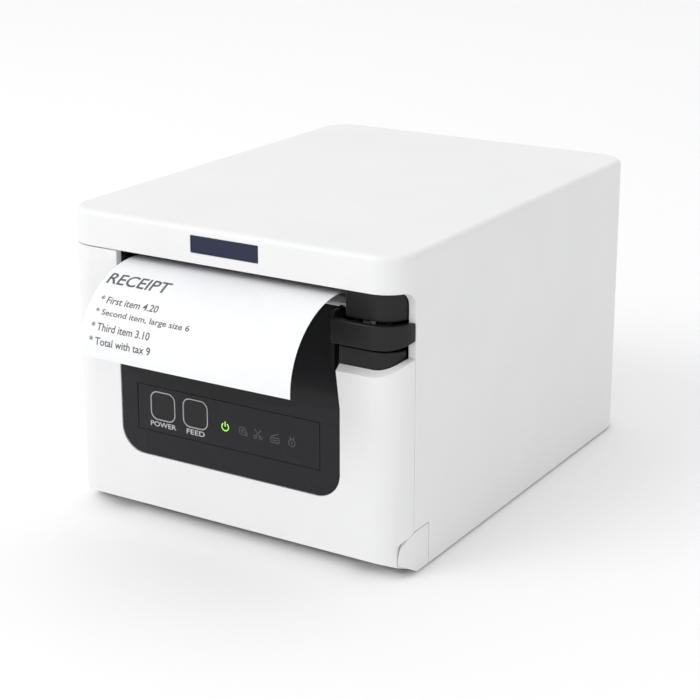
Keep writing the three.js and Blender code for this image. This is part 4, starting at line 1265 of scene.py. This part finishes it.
# %% [markdown]
# ## Feet and screws
# Four round rubber feet are pressed into the chassis. Each is a turned disc with a soft lower edge and a
# shallow dish. Four screws hold the case down to the chassis from below; their heads have a cross slot.

# %% Feet and screws
CORNERS = {"front_right": (1, 0), "rear_right": (1, 1), "front_left": (-1, 0), "rear_left": (-1, 1)}
FOOT_PLACES = ((55, 34), (55, 176))
CASE_SCREWS = ((60, 60), (60, 150))
for label, (side, row) in CORNERS.items():
    x, y = side * FOOT_PLACES[row][0], FOOT_PLACES[row][1]
    foot = post("foot", (x, y), 6.0, (-1.0, 1.5), 64)
    pick(foot, "FACE", facing(0, 0, -1))
    bpy.ops.mesh.inset(thickness=1.6 * MM)
    bpy.ops.mesh.extrude_region_move(TRANSFORM_OT_translate={"value": (0, 0, 0.4 * MM)})
    done()
    break_edges(foot, 0.25, 3)
    hand_over(foot, f"foot_{label}", "root", "rubber", [f"rubber_foot_{label}"])
    x, y = side * CASE_SCREWS[row][0], CASE_SCREWS[row][1]
    screw = post("screw", (x, y), 3.0, (0.3, 1.8), 40)
    round_edges(screw, lambda e: middle(e).z < 0.31, 0.5, 4)
    weld(screw, post("shank", (x, y), 1.5, (1.5, 12.0), 24))
    for slot_x, slot_y in ((3.2, 0.7), (0.7, 3.2)):
        carve(screw, block("slot", around(x, slot_x), around(y, slot_y), (-1, 1)))
    break_edges(screw, 0.08)
    hand_over(screw, f"screw_{label}", "root", "steel", [f"base_screw_{label}"])

# %% [markdown]
# ## The rear sockets
# A steel plate behind the case's window carries three sockets, for power, the cash drawer and data. Each is
# a moulded shell with a deep mouth, and has its own contacts inside: round pins, a row of thin springs, and
# a flat tongue with pads.

# %% Rear sockets
SOCKET_FRONT, SOCKET_BACK = 176.0, 191.0
SOCKET_BASE = 12.0
SOCKETS = {
    "power_inlet": {"x": -32.0, "size": (16.0, 14.0), "mouth": (9.0, 9.0)},
    "drawer_socket": {"x": -6.0, "size": (16.0, 13.0), "mouth": (11.6, 6.8)},
    "usb_socket": {"x": 20.0, "size": (12.2, 11.0), "mouth": (8.6, 7.8)},
}
MOUTH_DEPTH = 12.0


def socket_contacts(name, x, z):
    """The metal inside a socket's mouth, as loose rods and strips."""
    start = SOCKET_BACK - MOUTH_DEPTH - 0.5
    if name == "power_inlet":
        places = [(x - 2.2, z - 1.8), (x + 2.2, z - 1.8), (x, z + 2.2)]
        return [block("pin", around(a, 1.0), (start, SOCKET_BACK - 4), around(b, 1.0)) for a, b in places]
    if name == "drawer_socket":
        return [block("spring", around(x + i * 1.3, 0.5), (start, SOCKET_BACK - 3), (z + 1.6, z + 1.9))
                for i in range(-3, 3)]
    return [block("pad", around(x + i * 1.4, 0.7), (start, SOCKET_BACK - 3), (z + 0.9, z + 1.1))
            for i in (-1, 0, 1)]


for name, spec in SOCKETS.items():
    x, (width, height), (mouth_x, mouth_z) = spec["x"], spec["size"], spec["mouth"]
    middle_z = SOCKET_BASE + height / 2
    shell = block("shell", around(x, width), (SOCKET_FRONT, SOCKET_BACK),
                  (SOCKET_BASE, SOCKET_BASE + height))
    mouth = block("mouth", around(x, mouth_x), (SOCKET_BACK - MOUTH_DEPTH, SOCKET_BACK + 5),
                  around(middle_z, mouth_z))
    round_edges(mouth, lambda e: runs_along(e, 1), 0.9, 6)
    carve(shell, mouth)
    if name == "usb_socket":
        weld(shell, block("tongue", (x - 2.4, x + 2.4), (SOCKET_BACK - MOUTH_DEPTH - 1, SOCKET_BACK - 2.5),
                          (middle_z - 0.9, middle_z + 0.95)))
    break_edges(shell, 0.25)
    hand_over(shell, f"{name}_shell", "root", "black_plastic", [name])
    contacts = join(socket_contacts(name, x, middle_z), "contacts")
    break_edges(contacts, 0.06)
    hand_over(contacts, f"{name}_contacts", "root", "brass")

# %% [markdown]
# ## The paper roll
# The roll is many turns of paper on a card core. Its side faces show the turns as fine rings, so the roll
# has its own paper finish with rings about the roll's axis.

# %% Paper roll
CORE_RADIUS, CORE_BORE = 9.0, 6.2


def wound_paper():
    material, tree, shader = start_material("wound_paper", Roughness=0.7, Specular_IOR_Level=0.3)
    coords = tree.nodes.new("ShaderNodeTexCoord")
    mapping = tree.nodes.new("ShaderNodeMapping")
    mapping.inputs["Location"].default_value = -at(0, *ROLL_AXIS)
    wave = tree.nodes.new("ShaderNodeTexWave")
    wave.wave_type = "RINGS"
    wave.rings_direction = "X"
    wave.inputs["Scale"].default_value = 520.0
    wave.inputs["Distortion"].default_value = 1.2
    wave.inputs["Detail"].default_value = 2.0
    tree.links.new(coords.outputs["Object"], mapping.inputs["Vector"])
    tree.links.new(mapping.outputs["Vector"], wave.inputs["Vector"])
    rings = spread(tree, wave.outputs["Fac"], 0.0, 1.0)
    ringed = mix_colours(tree, rings, (0.78, 0.78, 0.79), (0.92, 0.92, 0.93))
    tree.links.new(ringed, shader.inputs["Base Color"])
    bump(tree, shader, wave.outputs["Fac"], 0.02)
    return material


MATERIALS["wound_paper"] = wound_paper()
roll = rod("roll", ROLL_AXIS, 35.0, (-45.2, 45.8), 128)
carve(roll, rod("roll_hole", ROLL_AXIS, CORE_RADIUS + 0.02, (-60, 60), 64))
break_edges(roll, 0.2)
hand_over(roll, "paper_roll_body", "paper_roll", "paper", ["paper_roll"], material=MATERIALS["wound_paper"])
core = rod("core", ROLL_AXIS, CORE_RADIUS, (-45.2, 45.8), 64)
carve(core, rod("core_hole", ROLL_AXIS, CORE_BORE, (-60, 60), 64))
break_edges(core, 0.15)
hand_over(core, "core_tube", "paper_roll", "card", ["roll_core"])

# %% [markdown]
# ## Springs
# Three small coil springs hold the lever up and press the head against the platen. A circle the size of the
# wire is wound round an axis with the Screw modifier, one point of rise per turn.

# %% Springs
WIRE = 0.35


def coil(name, node, axis, turns, radius):
    """A coil spring along y or z that fills a CAD node's box."""
    low, high = span(node, axis)
    other = [sum(span(node, i)) / 2 for i in range(3)]
    other[axis] = low + WIRE
    bpy.ops.object.select_all(action="DESELECT")
    bpy.ops.mesh.primitive_circle_add(
        vertices=8, radius=WIRE * MM, location=(radius * MM, 0, 0), rotation=(math.pi / 2, 0, 0))
    spring = apply_place(bpy.context.object, name)
    rise = (high - low - 2 * WIRE) / turns * MM
    apply_modifier(spring, "SCREW", axis="Z", screw_offset=rise, iterations=turns, steps=24, render_steps=24)
    make_active(spring)
    if axis == 1:
        bpy.ops.transform.rotate(value=math.pi / 2, orient_axis="X", center_override=(0, 0, 0))
        if spring.data.vertices and max((spring.matrix_world @ v.co).y for v in spring.data.vertices) < 0.001:
            bpy.ops.transform.rotate(value=math.pi, orient_axis="X", center_override=(0, 0, 0))
    spring.location = at(*other)
    face_outward(apply_place(spring, name))
    bpy.ops.object.shade_smooth_by_angle(angle=math.radians(60))
    return spring


HEAD_PIVOT = (32.0, 78.0)
SPRINGS = {
    "lever_spring": {"axis": 2, "turns": 5, "joint": "lever_press", "fixed": 0, "pivot": (LEVER_PIN[0], 1)},
}
for label in ("left", "right"):
    SPRINGS[f"head_spring_{label}"] = {
        "axis": 1, "turns": 6, "joint": "head_tilt", "fixed": 1, "pivot": (HEAD_PIVOT[1], 2)}
for node, spec in SPRINGS.items():
    axis = spec["axis"]
    low, high = span(node, 0)
    spring = coil(f"{node}_coil", node, axis, spec["turns"], (high - low) / 2 - WIRE)
    hand_over(spring, f"{node}_coil", NODES[node]["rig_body"], "steel", [node])
    pivot, level = spec["pivot"]
    arm_length = abs(sum(span(node, level)) / 2 - pivot)
    ends = span(node, axis)
    anchor = [sum(span(node, i)) / 2 for i in range(3)]
    anchor[axis] = ends[spec["fixed"]]
    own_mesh(spring)

# %% [markdown]
# ## The inner parts
# Frame plates, gears, shafts, boards and motors keep the shape of their CAD nodes. Each node is copied, its
# loose triangles are merged into flat faces, and its edges are broken, so that it takes light like the rest.

# %% Softened copies of the inner parts
SLOT_OF = {part["node"]: part["material_slot"] for part in frame["record"]["subparts"]}
EDGE_BREAK = {
    "base_chassis": 0.3, "hinge_pin_left": 0.3, "hinge_pin_right": 0.3, "status_light_guide": 0.1,
    "panel_board": 0.08, "lever_pin": 0.2, "platen_bracket": 0.15, "platen_bush_left": 0.2,
    "platen_bush_right": 0.2, "platen_roller": 0.3, "platen_shaft": 0.3, "platen_gear": 0.08,
    "idler_gear": 0.08, "idler_stud": 0.2, "feed_motor_pinion": 0.06, "feed_motor": 0.5,
    "mechanism_frame": 0.15, "thermal_head": 0.15, "head_heat_sink": 0.12, "fixed_blade": 0.05,
    "moving_blade": 0.05, "cutter_shaft": 0.06, "cutter_motor": 0.5, "cutter_motor_pinion": 0.06,
    "roll_bucket": 0.3, "paper_end_sensor": 0.2, "connector_plate": 0.12, "interface_board": 0.08,
    "main_board": 0.08,
}


def softened(node, width):
    copy = bpy.data.objects.new(node, NODES[node].data.copy())
    bpy.context.scene.collection.objects.link(copy)
    tidy(copy)
    apply_modifier(
        copy, "BEVEL", width=width * MM, segments=2, limit_method="ANGLE",
        angle_limit=math.radians(35), use_clamp_overlap=True)
    make_active(copy)
    bpy.ops.object.shade_smooth_by_angle(angle=math.radians(40))
    return copy


for node, width in EDGE_BREAK.items():
    hand_over(softened(node, width), f"{node}_body", NODES[node]["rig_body"], SLOT_OF[node], [node])
